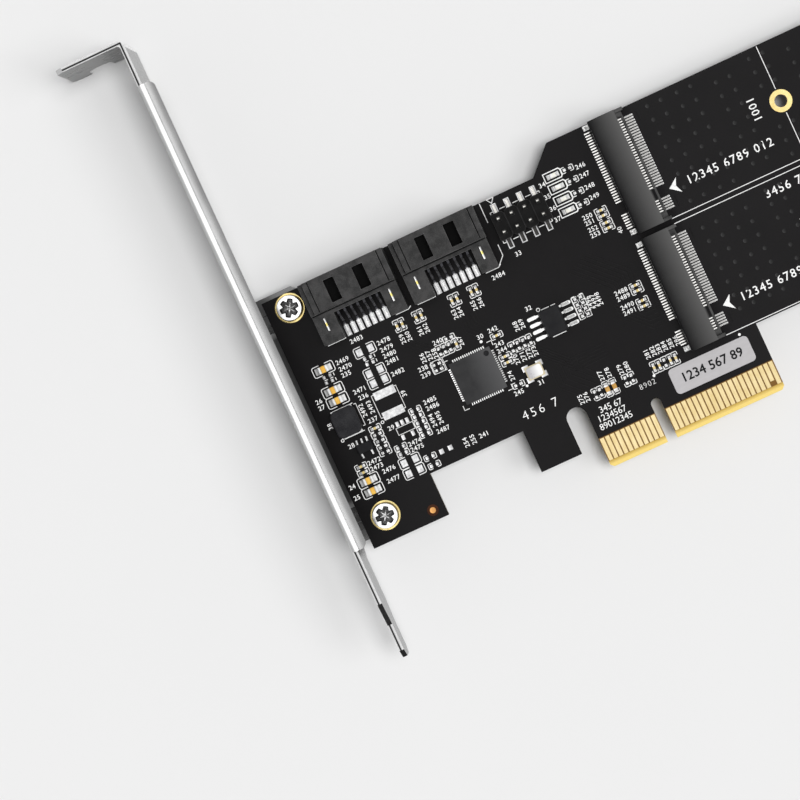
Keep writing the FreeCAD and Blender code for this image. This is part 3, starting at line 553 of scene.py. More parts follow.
class Value:
    """A number on a socket. Operators on it add Math nodes."""

    def __init__(self, graph: "Graph", socket: bpy.types.NodeSocket) -> None:
        """Wrap one socket of a graph."""
        self.graph = graph
        self.socket = socket

    def _math(self, operation: str, first: "Term", second: "Term") -> "Value":
        """Add one Math node."""
        return self.graph.node("ShaderNodeMath", {"operation": operation}, {0: first, 1: second})

    def __add__(self, other: "Term") -> "Value":
        """Add a number."""
        return self._math("ADD", self, other)

    def __radd__(self, other: "Term") -> "Value":
        """Add to a number."""
        return self._math("ADD", other, self)

    def __sub__(self, other: "Term") -> "Value":
        """Take a number away."""
        return self._math("SUBTRACT", self, other)

    def __rsub__(self, other: "Term") -> "Value":
        """Take this from a number."""
        return self._math("SUBTRACT", other, self)

    def __mul__(self, other: "Term") -> "Value":
        """Multiply by a number."""
        return self._math("MULTIPLY", self, other)

    def __rmul__(self, other: "Term") -> "Value":
        """Multiply a number."""
        return self._math("MULTIPLY", other, self)

    def __abs__(self) -> "Value":
        """Drop the sign."""
        return self._math("ABSOLUTE", self, 0.0)

    def least(self, other: "Term") -> "Value":
        """The smaller of two numbers."""
        return self._math("MINIMUM", self, other)

    def wave(self) -> "Value":
        """The sine of this number."""
        return self._math("SINE", self, 0.0)

    def turned_from(self, other: "Term") -> "Value":
        """The angle, in radians, of a direction with this number across and the other one along."""
        return self._math("ARCTAN2", self, other)

    def fade(self, low: float, high: float) -> "Value":
        """Go from 0 at one value to 1 at another."""
        return self.graph.node("ShaderNodeMapRange", {"clamp": True}, {"Value": self, 1: low, 2: high})


Term = Value | float | Sequence[float]


class Graph:
    """The nodes of one finish or sky. Finishes read Object coordinates in millimetres."""

    def __init__(self, tree: bpy.types.NodeTree) -> None:
        """Take the node tree to lay nodes in."""
        self.tree = tree

    @property
    def shader(self) -> bpy.types.Node:
        """The Principled shader of a finish."""
        return self.tree.nodes["Principled BSDF"]

    @cached_property
    def spot(self) -> Value:
        """The place on the card in millimetres."""
        coordinates = self.node("ShaderNodeTexCoord", {}, {}, "Object")
        return self.node("ShaderNodeVectorMath", {"operation": "SCALE"}, {0: coordinates, "Scale": 1 / MM})

    def plug(self, socket: bpy.types.NodeSocket, term: Term) -> None:
        """Link a value to a socket, or set a constant on it.

        Args:
            socket: The input.
            term: The value or the constant.
        """
        if isinstance(term, Value):
            self.tree.links.new(term.socket, socket)
        else:
            socket.default_value = term

    def node(
        self, kind: str, settings: dict[str, object], sockets: dict[str | int, Term], output: str | int = 0
    ) -> Value:
        """Add one node.

        Args:
            kind: The node's type.
            settings: Its settings, and a ramp's stops, which are set first.
            sockets: The values or links of its inputs, by name or number.
            output: The output that is used.

        Returns:
            The value on that output.
        """
        made = self.tree.nodes.new(kind)
        for setting, value in settings.items():
            if setting == "stops":
                self.set_stops(made.color_ramp, value)
            else:
                setattr(made, setting, value)
        for key, term in sockets.items():
            self.plug(made.inputs[key], term)
        return Value(self, made.outputs[output])

    @staticmethod
    def set_stops(ramp: bpy.types.ColorRamp, stops: Sequence[Point]) -> None:
        """Give a ramp its grey stops.

        Args:
            ramp: The ramp, with its two first stops at 0 and 1.
            stops: The place and the tone of each stop, from 0 to 1.
        """
        ends = {0.0: ramp.elements[0], 1.0: ramp.elements[1]}
        for at, tone in stops:
            element = ends.get(at) or ramp.elements.new(at)
            element.color = (tone, tone, tone, 1.0)

    def axes(self, vector: Value | None = None) -> tuple[Value, Value, Value]:
        """The parts of a vector, or of the place on the card, along X, Y and Z."""
        whole = self.spot if vector is None else vector
        return tuple(self.node("ShaderNodeSeparateXYZ", {}, {0: whole}, axis) for axis in "XYZ")

    def facing_up(self) -> Value:
        """How far a surface faces up or down, from 0 to 1."""
        normal = self.node("ShaderNodeNewGeometry", {}, {}, "Normal")
        return abs(self.node("ShaderNodeSeparateXYZ", {}, {0: normal}, "Z"))

    def noise(self, size: float, detail: float = 2.0, stretch: Sequence[float] = (1, 1, 1)) -> Value:
        """A cloudy pattern.

        Args:
            size: The size of its clouds in millimetres.
            detail: How many finer layers it has.
            stretch: How much longer its clouds are along each axis.

        Returns:
            A number from 0 to 1, near 0.5.
        """
        scale = tuple(1 / (size * way) for way in stretch)
        spot = self.node("ShaderNodeVectorMath", {"operation": "MULTIPLY"}, {0: self.spot, 1: scale})
        return self.node("ShaderNodeTexNoise", {}, {"Vector": spot, "Scale": 1.0, "Detail": detail})

    def mix(self, share: Term, first: Term, second: Term) -> Value:
        """Mix two colours by the share of the second one."""
        colours = {0: share, 6: self.opaque(first), 7: self.opaque(second)}
        return self.node("ShaderNodeMix", {"data_type": "RGBA"}, colours, 2)

    @staticmethod
    def opaque(term: Term) -> Term:
        """Give a plain colour its fourth number."""
        return term if isinstance(term, Value) else (*term, 1.0)

    def set(self, **sockets: Term) -> None:
        """Feed the shader's sockets, named with underscores for spaces."""
        for name, term in sockets.items():
            socket = self.shader.inputs[name.replace("_", " ")]
            self.plug(socket, self.opaque(term) if socket.type == "RGBA" else term)

    def faded(self, tone: Value, fade: "Fade | None") -> Value:
        """Let a colour change along the card or with the depth in a sheet.

        Args:
            tone: The colour.
            fade: The change, or None for none.

        Returns:
            The new colour.
        """
        if fade is None:
            return tone
        x, y, _ = self.axes()
        along = {Along.X: x, Along.Y: y, Along.DEPTH: self.depth(fade.corner)}[fade.along]
        share = along.fade(fade.start, fade.end)
        if fade.until is not None:
            share = share * along.fade(fade.until[1], fade.until[0])
        return self.mix(share, tone, fade.tone)

    def depth(self, corner: Point) -> Value:
        """How deep a place is under the two outer faces of a folded sheet, in millimetres."""
        x, y, _ = self.axes()
        return (corner[0] - x).least(corner[1] - y)

    def relief(self, height: Value, depth: float) -> None:
        """Feed the shader a bump from a height of 0 to 1, where 1 stands for a depth in millimetres."""
        bump = {"Height": height, "Distance": depth * MM, "Strength": 1.0}
        self.set(Normal=self.node("ShaderNodeBump", {}, bump))


class Along(Enum):
    """What a change of tone follows."""

    X = "x"
    Y = "y"
    DEPTH = "depth"


@dataclass(frozen=True)
class Fade:
    """A change of tone along one axis of the card, or with the depth under a folded sheet's corner."""

    along: Along
    start: float
    end: float
    tone: Colour
    until: Point | None = None
    corner: Point = (0.0, 0.0)


def grey(tone: float) -> Colour:
    """Make a neutral colour."""
    return (tone, tone, tone)


@dataclass(frozen=True)
class Finish:
    """A finish, made once as a material and then shared."""

    name: str

    def material(self) -> bpy.types.Material:
        """Find or make the finish's material.

        Returns:
            The material.
        """
        title = f"finish_{self.name}"
        found = bpy.data.materials.get(title)
        if found is None:
            found = bpy.data.materials.new(title)
            found.use_nodes = True
            self.lay(Graph(found.node_tree))
        return found

    def lay(self, graph: Graph) -> None:
        """Lay the finish's nodes."""
        raise NotImplementedError


@dataclass(frozen=True)
class Moulded(Finish):
    """Moulded or pressed plastic, ferrite and ceramic: mottled tone, fine grain, uneven gloss."""

    dark: Colour
    light: Colour
    gloss: float = 0.45
    grain: float = 0.12
    depth: float = 0.006
    specular: float = 0.12
    fade: Fade | None = None
    cloud: float = 1.6
    cloud_share: float = 0.6
    contrast: Point = (0.38, 0.62)
    uneven: float = 0.25

    def lay(self, graph: Graph) -> None:
        """Lay the moulded surface.

        Args:
            graph: The finish's nodes.
        """
        cloud = graph.noise(self.cloud, detail=3.0)
        grain = graph.noise(self.grain)
        mottle = cloud * self.cloud_share + grain * (1 - self.cloud_share)
        tone = graph.mix(mottle.fade(*self.contrast), self.dark, self.light)
        rough = self.gloss + (cloud - MEAN) * self.uneven
        graph.set(Base_Color=graph.faded(tone, self.fade), Roughness=rough)
        graph.set(Specular_IOR_Level=self.specular)
        graph.relief(grain, self.depth)


@dataclass(frozen=True)
class Metal(Finish):
    """Plated or tinned metal: rolling streaks or mottling, uneven gloss, fine scratches."""

    bright: Colour
    dull: Colour
    gloss: float = 0.25
    cloud: float = 1.0
    stretch: Triple = (1.0, 1.0, 1.0)
    depth: float = 0.002
    fade: Fade | None = None
    # Under 1, a painted shade that darkens the reflection at a slant
    slanting: float = 1.0
    metallic: float = 1.0
    streak: float = 0.15
    contrast: Point = (0.36, 0.64)
    uneven: Point = (0.2, 0.15)

    def lay(self, graph: Graph) -> None:
        """Lay the metal surface, whose reflection at a slant a grey tint can darken as a painted shade.

        Args:
            graph: The finish's nodes.
        """
        cloud = graph.noise(self.cloud, detail=3.0)
        streak = graph.noise(self.cloud * self.streak, stretch=self.stretch)
        tone = graph.mix((cloud * 0.5 + streak * 0.5).fade(*self.contrast), self.dull, self.bright)
        graph.set(Base_Color=graph.faded(tone, self.fade), Metallic=self.metallic)
        rough = (streak - MEAN) * self.uneven[0] + (cloud - MEAN) * self.uneven[1]
        graph.set(Roughness=self.gloss + rough, Specular_Tint=grey(self.slanting))
        graph.relief(streak, self.depth)


@dataclass(frozen=True)
class Mask(Finish):
    """The board's dark satin mask, its bare laminate between the fingers and its cut edges."""

    ink: Colour = (0.0046, 0.0042, 0.0045)
    pour: Colour = (0.0090, 0.0084, 0.0088)
    bare: Colour = (0.24, 0.125, 0.034)
    bare_deep: Colour = (0.144, 0.075, 0.0204)
    cut: Colour = (0.085, 0.066, 0.030)
    cut_deep: Colour = (0.03825, 0.0297, 0.0135)
    cut_contrast: Point = (0.4, 0.6)
    cut_ways: Point = (0.5, 0.3)
    # The bevel's tones at its foot and at its top; the darker top is a painted shade
    bevel: Colour = (0.96, 0.74, 0.24)
    bevel_deep: Colour = (0.47, 0.29, 0.06)
    bare_top: float = 5.7
    bare_left: float = -12.3
    bare_right: float = 22.4
    bevel_top: float = 1.3
    bevel_foot: float = 0.55
    bevel_ways: Point = (0.999, 0.99)
    bevel_shares: Point = (0.8, 0.3)
    pour_left: float = 17.0
    pour_blend: float = 1.0
    pour_shares: Point = (0.6, 0.9)
    blend: float = 0.05
    weave: float = 0.9
    cloud: float = 6.0
    fibre: float = 0.35
    fibre_stretch: Triple = (1.0, 1.0, 0.2)
    uneven: Triple = (0.12, 0.3, 0.2)
    gloss: float = 0.40
    specular: float = 0.13
    depth: float = 0.004

    def lay(self, graph: Graph) -> None:
        """Lay the board's surfaces.

        Args:
            graph: The finish's nodes.
        """
        x, y, _ = graph.axes()
        fingers = y.fade(self.bare_top + self.blend, self.bare_top - self.blend)
        fingers = fingers * x.fade(self.bare_left, self.bare_left + self.blend)
        fingers = fingers * x.fade(self.bare_right, self.bare_right - self.blend)
        up = graph.facing_up()
        edge = up.fade(*self.cut_ways)
        slant = fingers * y.fade(self.bevel_top, self.bevel_top - self.blend) * up.fade(*self.bevel_ways)
        cloud = graph.noise(self.cloud, detail=3.0)
        turns = 2 * math.pi / self.weave
        weave = (x * turns).wave() * (y * turns).wave()
        fibre = graph.noise(self.fibre, stretch=self.fibre_stretch)
        pour = x.fade(self.pour_left, self.pour_left + self.pour_blend) * self.pour_shares[0]
        pour = pour + (cloud - MEAN) * self.pour_shares[1]
        tone = graph.mix(pour.fade(0.0, 1.0), self.ink, self.pour)
        bare = graph.mix(fibre, self.bare, self.bare_deep)
        tone = graph.mix(fingers, tone, bare)
        cut = graph.mix(fibre.fade(*self.cut_contrast), self.cut, self.cut_deep)
        tone = graph.mix(edge, tone, cut)
        # The bevel darkens towards its top, a painted shade, mixed with the laminate's real fibre
        rise_share, fibre_share = self.bevel_shares
        bevel_shading = y.fade(self.bevel_foot, self.bevel_top) * rise_share + fibre * fibre_share
        tone = graph.mix(slant, tone, graph.mix(bevel_shading, self.bevel, self.bevel_deep))
        clouded, cut_rough, slant_rough = self.uneven
        rough = self.gloss + (cloud - MEAN) * clouded + edge * cut_rough + slant * slant_rough
        graph.set(Base_Color=tone, Roughness=rough, Specular_IOR_Level=self.specular)
        graph.relief(weave * 0.5 + fibre * 0.5, self.depth)


@dataclass(frozen=True)
class Ink(Finish):
    """Printed ink that covers slightly unevenly, white unless other tones are given."""

    full: Colour = (0.94, 0.94, 0.93)
    thin: Colour = grey(0.66)
    gloss: float = 0.55
    specular: float = 0.12
    cloud: float = 0.35
    contrast: Point = (0.42, 0.30)
    grain: float = 0.1
    depth: float = 0.004

    def lay(self, graph: Graph) -> None:
        """Lay the print.

        Args:
            graph: The finish's nodes.
        """
        cover = graph.noise(self.cloud, detail=3.0)
        tone = graph.mix(cover.fade(*self.contrast), self.full, self.thin)
        graph.set(Base_Color=tone, Roughness=self.gloss, Specular_IOR_Level=self.specular)
        graph.relief(graph.noise(self.grain, detail=1.0), self.depth)


@dataclass(frozen=True)
class Film(Finish):
    """The bare label's film: a pale grey with faint fibres and a soft sheen."""

    base: Colour = (0.465, 0.452, 0.460)
    pale: Colour = (0.490, 0.476, 0.486)
    gloss: float = 0.5
    fibre: float = 0.5
    stretch: Triple = (3.0, 1.0, 1.0)
    contrast: Point = (0.35, 0.65)
    uneven: float = 0.2
    depth: float = 0.003

    def lay(self, graph: Graph) -> None:
        """Lay the film.

        Args:
            graph: The finish's nodes.
        """
        fibre = graph.noise(self.fibre, detail=4.0, stretch=self.stretch)
        graph.set(Base_Color=graph.mix(fibre.fade(*self.contrast), self.base, self.pale))
        graph.set(Roughness=self.gloss + (fibre - MEAN) * self.uneven)
        graph.relief(fibre, self.depth)


@dataclass(frozen=True)
class Lens(Finish):
    """The clear yellowish lens of a status light."""

    clear: Colour = (0.95, 0.95, 0.92)
    deep: Colour = (0.84, 0.83, 0.75)
    gloss: float = 0.12
    milky: float = 0.3
    reach: float = 0.4
    reach_tint: Triple = (1.0, 0.9, 0.6)
    coat: float = 0.4
    cloud: float = 0.6
    contrast: Point = (0.35, 0.65)
    uneven: float = 0.1
    depth: float = 0.01

    def lay(self, graph: Graph) -> None:
        """Lay the lens.

        Args:
            graph: The finish's nodes.
        """
        cloud = graph.noise(self.cloud)
        graph.set(Base_Color=graph.mix(cloud.fade(*self.contrast), self.clear, self.deep))
        graph.set(Roughness=self.gloss + cloud * self.uneven, Coat_Weight=self.coat)
        graph.set(Subsurface_Weight=self.milky, Subsurface_Scale=self.reach * MM)
        graph.set(Subsurface_Radius=self.reach_tint)
        graph.relief(cloud, self.depth)


@dataclass(frozen=True)
class Ground(Finish):
    """The pale studio floor."""

    pale: Colour = grey(0.80)
    shade: Colour = grey(0.788)
    # A painted shadow on the floor in the narrow gap between the bracket and the board
    deep: Colour = grey(0.10)
    gap_x: Point = (-59.2, -56.6)
    gap_y: Point = (12.9, 47.3)
    blend: Point = (0.2, 1.0)
    cloud: float = 40.0
    gloss: float = 0.9
    specular: float = 0.1

    def lay(self, graph: Graph) -> None:
        """Lay the floor, with a painted shadow in the narrow gap between the bracket and the board.

        Args:
            graph: The finish's nodes.
        """
        cloud = graph.noise(self.cloud)
        x, y, _ = graph.axes()
        (left, right), (bottom, top) = self.gap_x, self.gap_y
        across, along = self.blend
        gap = x.fade(left, left + across) * x.fade(right, right - across)
        gap = gap * y.fade(bottom - along, bottom + along) * y.fade(top + along, top - along)
        tone = graph.mix(gap, graph.mix(cloud, self.pale, self.shade), self.deep)
        graph.set(Base_Color=tone, Roughness=self.gloss, Specular_IOR_Level=self.specular)


MASK = Mask("board_mask")
INK = Ink("print")
LABEL_FILM = Film("label_film")
LABEL_INK = Ink("label_print", (0.008, 0.008, 0.009), grey(0.020))
TRACK = Moulded("mask_over_copper", (0.0058, 0.0054, 0.0057), (0.0085, 0.0080, 0.0083), 0.38, 0.3, 0.003,
                0.13)
# Painted shade: the domes are darker than the mask, standing in for the shade in the dents over the holes
DOME = Moulded("mask_over_hole", (0.0022, 0.0021, 0.0022), (0.0040, 0.0038, 0.0040), 0.32, 0.2, 0.003,
               0.35)
GOLD = Metal("gold_plate", (0.84, 0.70, 0.40), (0.72, 0.56, 0.27), 0.34, 2.0, (1.0, 8.0, 1.0))
RING_GOLD = Metal("ring_gold", (1.0, 0.84, 0.40), (0.90, 0.68, 0.26), 0.22, 0.9)
COPPER = Metal("bare_copper", (0.72, 0.38, 0.13), (0.56, 0.26, 0.09), 0.35, 0.5)
LAMINATE = Moulded("bare_laminate", (0.030, 0.010, 0.005), (0.055, 0.020, 0.009), 0.5, 0.2)
STEEL = Metal("bracket_steel", grey(0.50), grey(0.43), 0.20, 5.0, (1.0, 12.0, 1.0), 0.001)
# Painted shade: a slightly darker copy of the steel, mirroring less at a slant, for the sheet's inner faces
INSIDE_SHADE_STEEL = Metal("bracket_inner_painted_shade", grey(0.46), grey(0.39), 0.28, 5.0, (1.0, 12.0, 1.0), 0.001,
                   slanting=0.82)
# Painted shade: a dark copy of the steel for the feet inside the sheet
FEET_SHADE_STEEL = Metal("bracket_feet_painted_shade", grey(0.22), grey(0.16), 0.28, 5.0, (12.0, 1.0, 1.0), 0.001)
# Painted highlight: a lighter copy of the steel for the top edges past the flange, with a painted dark
# reflection line 0.3 to 0.76 mm in from the tab's corner
TOP_HIGHLIGHT_STEEL = Metal("bracket_top_painted_highlight", grey(0.62), grey(0.54), 0.30, 2.0, (1.0, 6.0, 1.0), 0.001,
                   Fade(Along.DEPTH, 0.30, 0.44, grey(0.020), (0.64, 0.76), (-58.7, 105.3)))
# Painted shade: a nearly black copy of the steel for the tail's sloped edges
SLOPE_SHADE_STEEL = Metal("bracket_slope_painted_shade", grey(0.024), grey(0.016), 0.30, 2.0, depth=0.001, slanting=0.3)
# Painted highlight: a near-white copy of the steel for the rims and +X faces past the flange
RIM_HIGHLIGHT_STEEL = Metal("bracket_painted_highlight", grey(0.95), grey(0.86), 0.30, 2.0, depth=0.001)
# Painted shade: the tab's -Y faces mirror less at a slant
TAB_SHADE_STEEL = Metal("bracket_tab_painted_shade", grey(0.48), grey(0.44), 0.30, 5.0, (8.0, 1.0, 1.0), 0.001,
                    slanting=0.52)
SCREW_STEEL = Metal("screw_steel", grey(0.92), grey(0.80), 0.12, 0.8, depth=0.0008)
# Painted shade: a dark copy of the screw's steel for the walls and floor of the recess
RECESS_SHADE_STEEL = Metal("screw_recess", grey(0.27), grey(0.003), 0.10, 0.9, depth=0.10)
GLINT_STEEL = Metal("screw_recess_floor", grey(1.0), grey(0.004), 0.12, 1.6, depth=0.02)
TIN = Metal("tinned_metal", (0.86, 0.86, 0.85), grey(0.58), 0.25, 0.45, depth=0.006)
PAD_TIN = Metal("pad_tin", grey(0.86), (0.42, 0.42, 0.43), 0.32, 0.7, depth=0.012)
SOLDER = Metal("solder", (0.94, 0.94, 0.93), grey(0.78), 0.30, 0.35, depth=0.006, metallic=0.2)
CONTACT = Metal("contact_metal", (1.0, 0.99, 0.97), (0.84, 0.83, 0.80), 0.28, 0.6, (1.0, 4.0, 4.0))
# Painted shadow: the upper row's contacts darken towards the housing, from x 9.2 to 9.45
REAR_SHADOWED_CONTACT = replace(CONTACT, name="upper_row_painted_shadow", fade=Fade(Along.X, 9.2, 9.45, grey(0.06)))
# Painted shadow: the pins darken on their shoulders inside the housing, from y 43.2 to 47.2
PORT_SHADOWED_CONTACT = Metal("port_contact", (0.95, 0.95, 0.94), (0.56, 0.56, 0.57), 0.26, 0.4, depth=0.010,
                     fade=Fade(Along.Y, 43.2, 43.6, (0.05, 0.05, 0.055), (46.6, 47.2)))
LOCK = Metal("lock_tin", (0.86, 0.86, 0.85), grey(0.66), 0.25, 0.45, depth=0.006,
             fade=Fade(Along.Y, 44.25, 44.5, (0.88, 0.76, 0.24), (44.9, 45.15)))
CLAMP = Metal("clamp_tin", (0.72, 0.72, 0.71), grey(0.02), 0.30, 0.28, depth=0.020)
BAND = Metal("end_band", (0.90, 0.90, 0.89), grey(0.74), 0.30, 0.6, depth=0.006)
# Painted shadow: the posts go dark below y 45.6, on the lower row's feet
POST = Metal("post_metal", (0.70, 0.69, 0.66), (0.56, 0.54, 0.50), 0.22, 0.5, (1.0, 1.0, 5.0),
             fade=Fade(Along.Y, 45.95, 45.6, (0.045, 0.044, 0.042)))
PORT_PLASTIC = Moulded("port_plastic", grey(0.026), (0.060, 0.059, 0.059), 0.44, 0.14, 0.010)
# Painted highlight: a lighter copy of the housing's plastic for its bevels
PORT_BEVEL_HIGHLIGHT = Moulded("port_bevel_painted_highlight", grey(0.10), (0.20, 0.198, 0.196), 0.40, 0.14, 0.010)
# Painted shade: near-black lines in the housings' inner corners
PORT_CORNER_SHADE = Moulded("port_corner_painted_shade", grey(0.007), grey(0.013), 0.5, 0.14, 0.006, 0.04)
# Painted shade: a near-black copy of the plastic for the floors inside the shroud
PORT_HOLLOW_SHADE = Moulded("port_hollow_painted_shade", grey(0.0035), grey(0.0065), 0.5, 0.14, 0.006, 0.04)
# Painted sheen: the socket's plastic lightens towards its mouth, from x 9.9 to 14.6
SOCKET_SHEEN_PLASTIC = Moulded("socket_plastic", (0.0085, 0.0085, 0.0088), (0.0125, 0.0125, 0.0128), 0.45, 0.14,
                         0.008, 0.05, Fade(Along.X, 9.9, 14.6, (0.100, 0.099, 0.098), (14.75, 15.1)))
# Painted sheen: a lighter copy of the socket's plastic for its lip
LIP_SHEEN_PLASTIC = Moulded("socket_mouth_painted_sheen", grey(0.040), (0.095, 0.094, 0.093), 0.45, 0.14, 0.008, 0.1)
HEADER_PLASTIC = Moulded("header_plastic", (0.0040, 0.0039, 0.0039), (0.0085, 0.0082, 0.0082), 0.45, 0.12)
# Painted highlight: a lighter copy of the header's plastic for the edges and grooves at its top
HEADER_HIGHLIGHT = Moulded("header_painted_highlight", grey(0.022), (0.046, 0.045, 0.045), 0.40, 0.12)
# Painted shade: a dark copy of the post metal for the posts' sides
POST_SHADE_SIDE = Metal("post_painted_shade", (0.10, 0.10, 0.095), (0.06, 0.06, 0.055), 0.25, 0.5, (1.0, 1.0, 5.0))
# Painted reflection: the controller lightens towards +X, from x -28.2 to -22.8
CONTROLLER_PLASTIC = Moulded("controller_plastic", (0.026, 0.026, 0.027), (0.036, 0.036, 0.037), 0.5,
                             0.08, 0.010, 0.12, Fade(Along.X, -28.2, -22.8, (0.088, 0.088, 0.090)))
CHIP_PLASTIC = Moulded("chip_plastic", (0.009, 0.009, 0.010), (0.016, 0.016, 0.017), 0.5, 0.08, 0.010)
FERRITE = Moulded("inductor_ferrite", (0.015, 0.015, 0.017), (0.032, 0.032, 0.034), 0.5, 0.22, 0.02)
CAP_CERAMIC = Moulded("capacitor_ceramic", (0.80, 0.43, 0.070), (0.92, 0.58, 0.13), 0.35, 0.25)
BROWN_CERAMIC = Moulded("brown_capacitor", (0.50, 0.27, 0.070), (0.66, 0.40, 0.13), 0.40, 0.25)
PALE_CERAMIC = Moulded("pale_capacitor", (0.66, 0.50, 0.20), (0.80, 0.66, 0.32), 0.4, 0.15)
FILM_BLACK = Moulded("resistor_film", (0.008, 0.008, 0.009), (0.018, 0.018, 0.019), 0.35, 0.15)
CRYSTAL_CERAMIC = Moulded("crystal_ceramic", (0.56, 0.48, 0.32), (0.74, 0.66, 0.46), 0.45, 0.15)
# Painted highlight: the lid lightens to near white towards +X, from x -18.2 to -16.2
CRYSTAL_METAL = Metal("crystal_lid", (0.48, 0.47, 0.48), (0.42, 0.41, 0.42), 0.32, 2.4,
                      fade=Fade(Along.X, -18.2, -16.2, (0.90, 0.90, 0.89)))
LIGHT_BASE = Moulded("light_base", (0.72, 0.71, 0.68), (0.84, 0.83, 0.80), 0.4, 0.2)
LIGHT_LENS = Lens("light_lens")
FLOOR = Ground("floor")


@dataclass(frozen=True)
class Layout:
    """Places on the board that several sub-assemblies share, in millimetres."""

    ports: Point = (-40.98, -23.17)
    header_pitch: float = 2.54
    header_gaps: int = 3
    drive_rows: Point = (47.0, 24.05)
    drive_holes: tuple[float, ...] = (42.58, 54.58, 72.58, 92.58)
    drive_lines: Triple = (36.06, 35.05, 13.08)
    vacant: Run = (
        (-45.0, 19.15), (-45.0, 17.95), (-40.9, 15.35), (-40.8, 13.7), (-39.85, 24.15), (-39.85, 23.0),
        (-39.85, 21.75), (-39.85, 20.6), (-39.85, 19.45))


LAYOUT = Layout()


def moved(run: Sequence[Point], x: float = 0.0, y: float = 0.0) -> list[Point]:
    """Move a run of points."""
    return [(across + x, along + y) for across, along in run]


@dataclass(frozen=True)
class Number:
    """A plain printed number about a point, at a scale of the usual size."""

    text: str
    spot: Point
    facing: Facing = Facing.RIGHT
    scale: float = 1.0
    spacing: float = 1.08
    weight: float = 0.012


@dataclass
class Lines:
    """Raised lines, patches and numbers on the board's component side."""

    name: str
    width: float = 0.2
    base: float = BOARD_TOP
    height: float = 0.02
    curve: float = 0.35
    curve_parts: int = 6
    curve_cut: float = 0.3
    sides: int = 20
    number_size: float = 1.2
    number_squeeze: float = 1.0
    runs: list[tuple[list[Point], bool]] = field(default_factory=list)
    patches: list[list[Point]] = field(default_factory=list)
    numbers: list[Number] = field(default_factory=list)

    def line(self, *points: Point) -> None:
        """Lay an open line through points."""
        self.runs.append((list(points), False))

    def loop(self, *points: Point) -> None:
        """Lay a closed line through points."""
        self.runs.append((list(points), True))

    def patch(self, *points: Point) -> None:
        """Fill the area inside points."""
        self.patches.append(list(points))

    def number(self, number: Number) -> None:
        """Set a plain number."""
        self.numbers.append(number)

    def round_points(self, spot: Point, radius: float) -> list[Point]:
        """List points round a circle."""
        angles = [2 * math.pi * step / self.sides for step in range(self.sides)]
        return [(spot[0] + radius * math.cos(a), spot[1] + radius * math.sin(a)) for a in angles]

    def dot(self, spot: Point, radius: float) -> None:
        """Fill a circle."""
        self.patch(*self.round_points(spot, radius))

    def ring(self, spot: Point, radius: float) -> None:
        """Lay a circle."""
        self.loop(*self.round_points(spot, radius))

    def clasp(
        self, spot: Sequence[float], length: float, depth: float, gap: float, upright: bool = False
    ) -> None:
        """Lay two rounded brackets round a place.

        Args:
            spot: The middle of the place.
            length: The distance over both brackets.
            depth: The brackets' other size.
            gap: The space between their ends.
            upright: Whether they stand above and below the place.
        """
        curve = min(self.curve, depth / self.curve_parts)
        cut = self.curve_cut * curve
        end, top = length / 2, depth / 2
        half = [(gap / 2, top), (end - curve, top), (end - cut, top - cut), (end, top - curve)]
        points = half + [(x, -y) for x, y in reversed(half)]
        for side in (-1, 1):
            turned = [(side * y, side * x) if upright else (side * x, y) for x, y in points]
            self.line(*moved(turned, *spot))

    def box(self, low: Point, high: Point) -> None:
        """Lay a rectangle between two corners."""
        self.loop(low, (high[0], low[1]), high, (low[0], high[1]))

    def _from_curve(self, filled: bool) -> Piece:
        """Model the lines, or the patches, from one flat curve.

        Args:
            filled: Whether the patches are made.

        Returns:
            The mesh object.
        """
        curve = bpy.data.curves.new(self.name, "CURVE")
        curve.dimensions = "2D" if filled else "3D"
        curve.twist_mode = "Z_UP"
        if filled:
            curve.fill_mode = "BOTH"
            curve.extrude = self.height / 2 * MM
        else:
            curve.bevel_depth = self.width / 2 * MM
            curve.bevel_resolution = 1
            curve.use_fill_caps = True
        runs = [(points, True) for points in self.patches] if filled else self.runs
        for points, closed in runs:
            spline = curve.splines.new("POLY")
            spline.points.add(len(points) - 1)
            spline.use_cyclic_u = closed
            for point, (x, y) in zip(spline.points, points):
                point.co = (x * MM, y * MM, 0.0, 1.0)
        piece = bpy.data.objects.new(self.name, curve)
        bpy.context.scene.collection.objects.link(piece)
        Bench.take(piece)
        bpy.ops.object.convert(target="MESH")
        piece = bpy.context.active_object
        if not filled:
            Bench.edit(piece, Pick.CORNERS, Bench.everything)
            bpy.ops.transform.resize(value=(1, 1, self.height / self.width))
            Bench.close()
        return piece

    def _set_numbers(self) -> list[Piece]:
        """Model the numbers.

        Returns:
            The mesh objects.
        """
        Bench.clear()
        made = []
        for number in self.numbers:
            spot = (number.spot[0] * MM, number.spot[1] * MM, 0.0)
            bpy.ops.object.text_add(radius=self.number_size * number.scale * MM, location=spot)
            piece = bpy.context.active_object
            piece.rotation_euler.z = math.radians(number.facing.value)
            piece.scale.x = self.number_squeeze
            piece.data.body = number.text
            piece.data.align_x = "CENTER"
            piece.data.align_y = "CENTER"
            piece.data.resolution_u = 2
            piece.data.space_character = number.spacing
            piece.data.extrude = self.height / 2 * MM
            piece.data.offset = number.weight * MM
            made.append(piece)
        Bench.clear()
        for piece in made:
            piece.select_set(True)
        bpy.context.view_layer.objects.active = made[0]
        bpy.ops.object.convert(target="MESH")
        bpy.ops.object.transform_apply(location=True, rotation=True, scale=True)
        return made

    def build(self) -> Piece:
        """Model everything laid so far as one piece on the board.

        Returns:
            The piece.
        """
        made = []
        if self.runs:
            made.append(self._from_curve(False))
        if self.patches:
            made.append(self._from_curve(True))
        if self.numbers:
            made.extend(self._set_numbers())
        piece = Bench.join(self.name, made)
        Bench.edit(piece, Pick.CORNERS, Bench.everything)
        Bench.shift(0, 0, self.base + self.height / 2)
        Bench.close()
        return piece


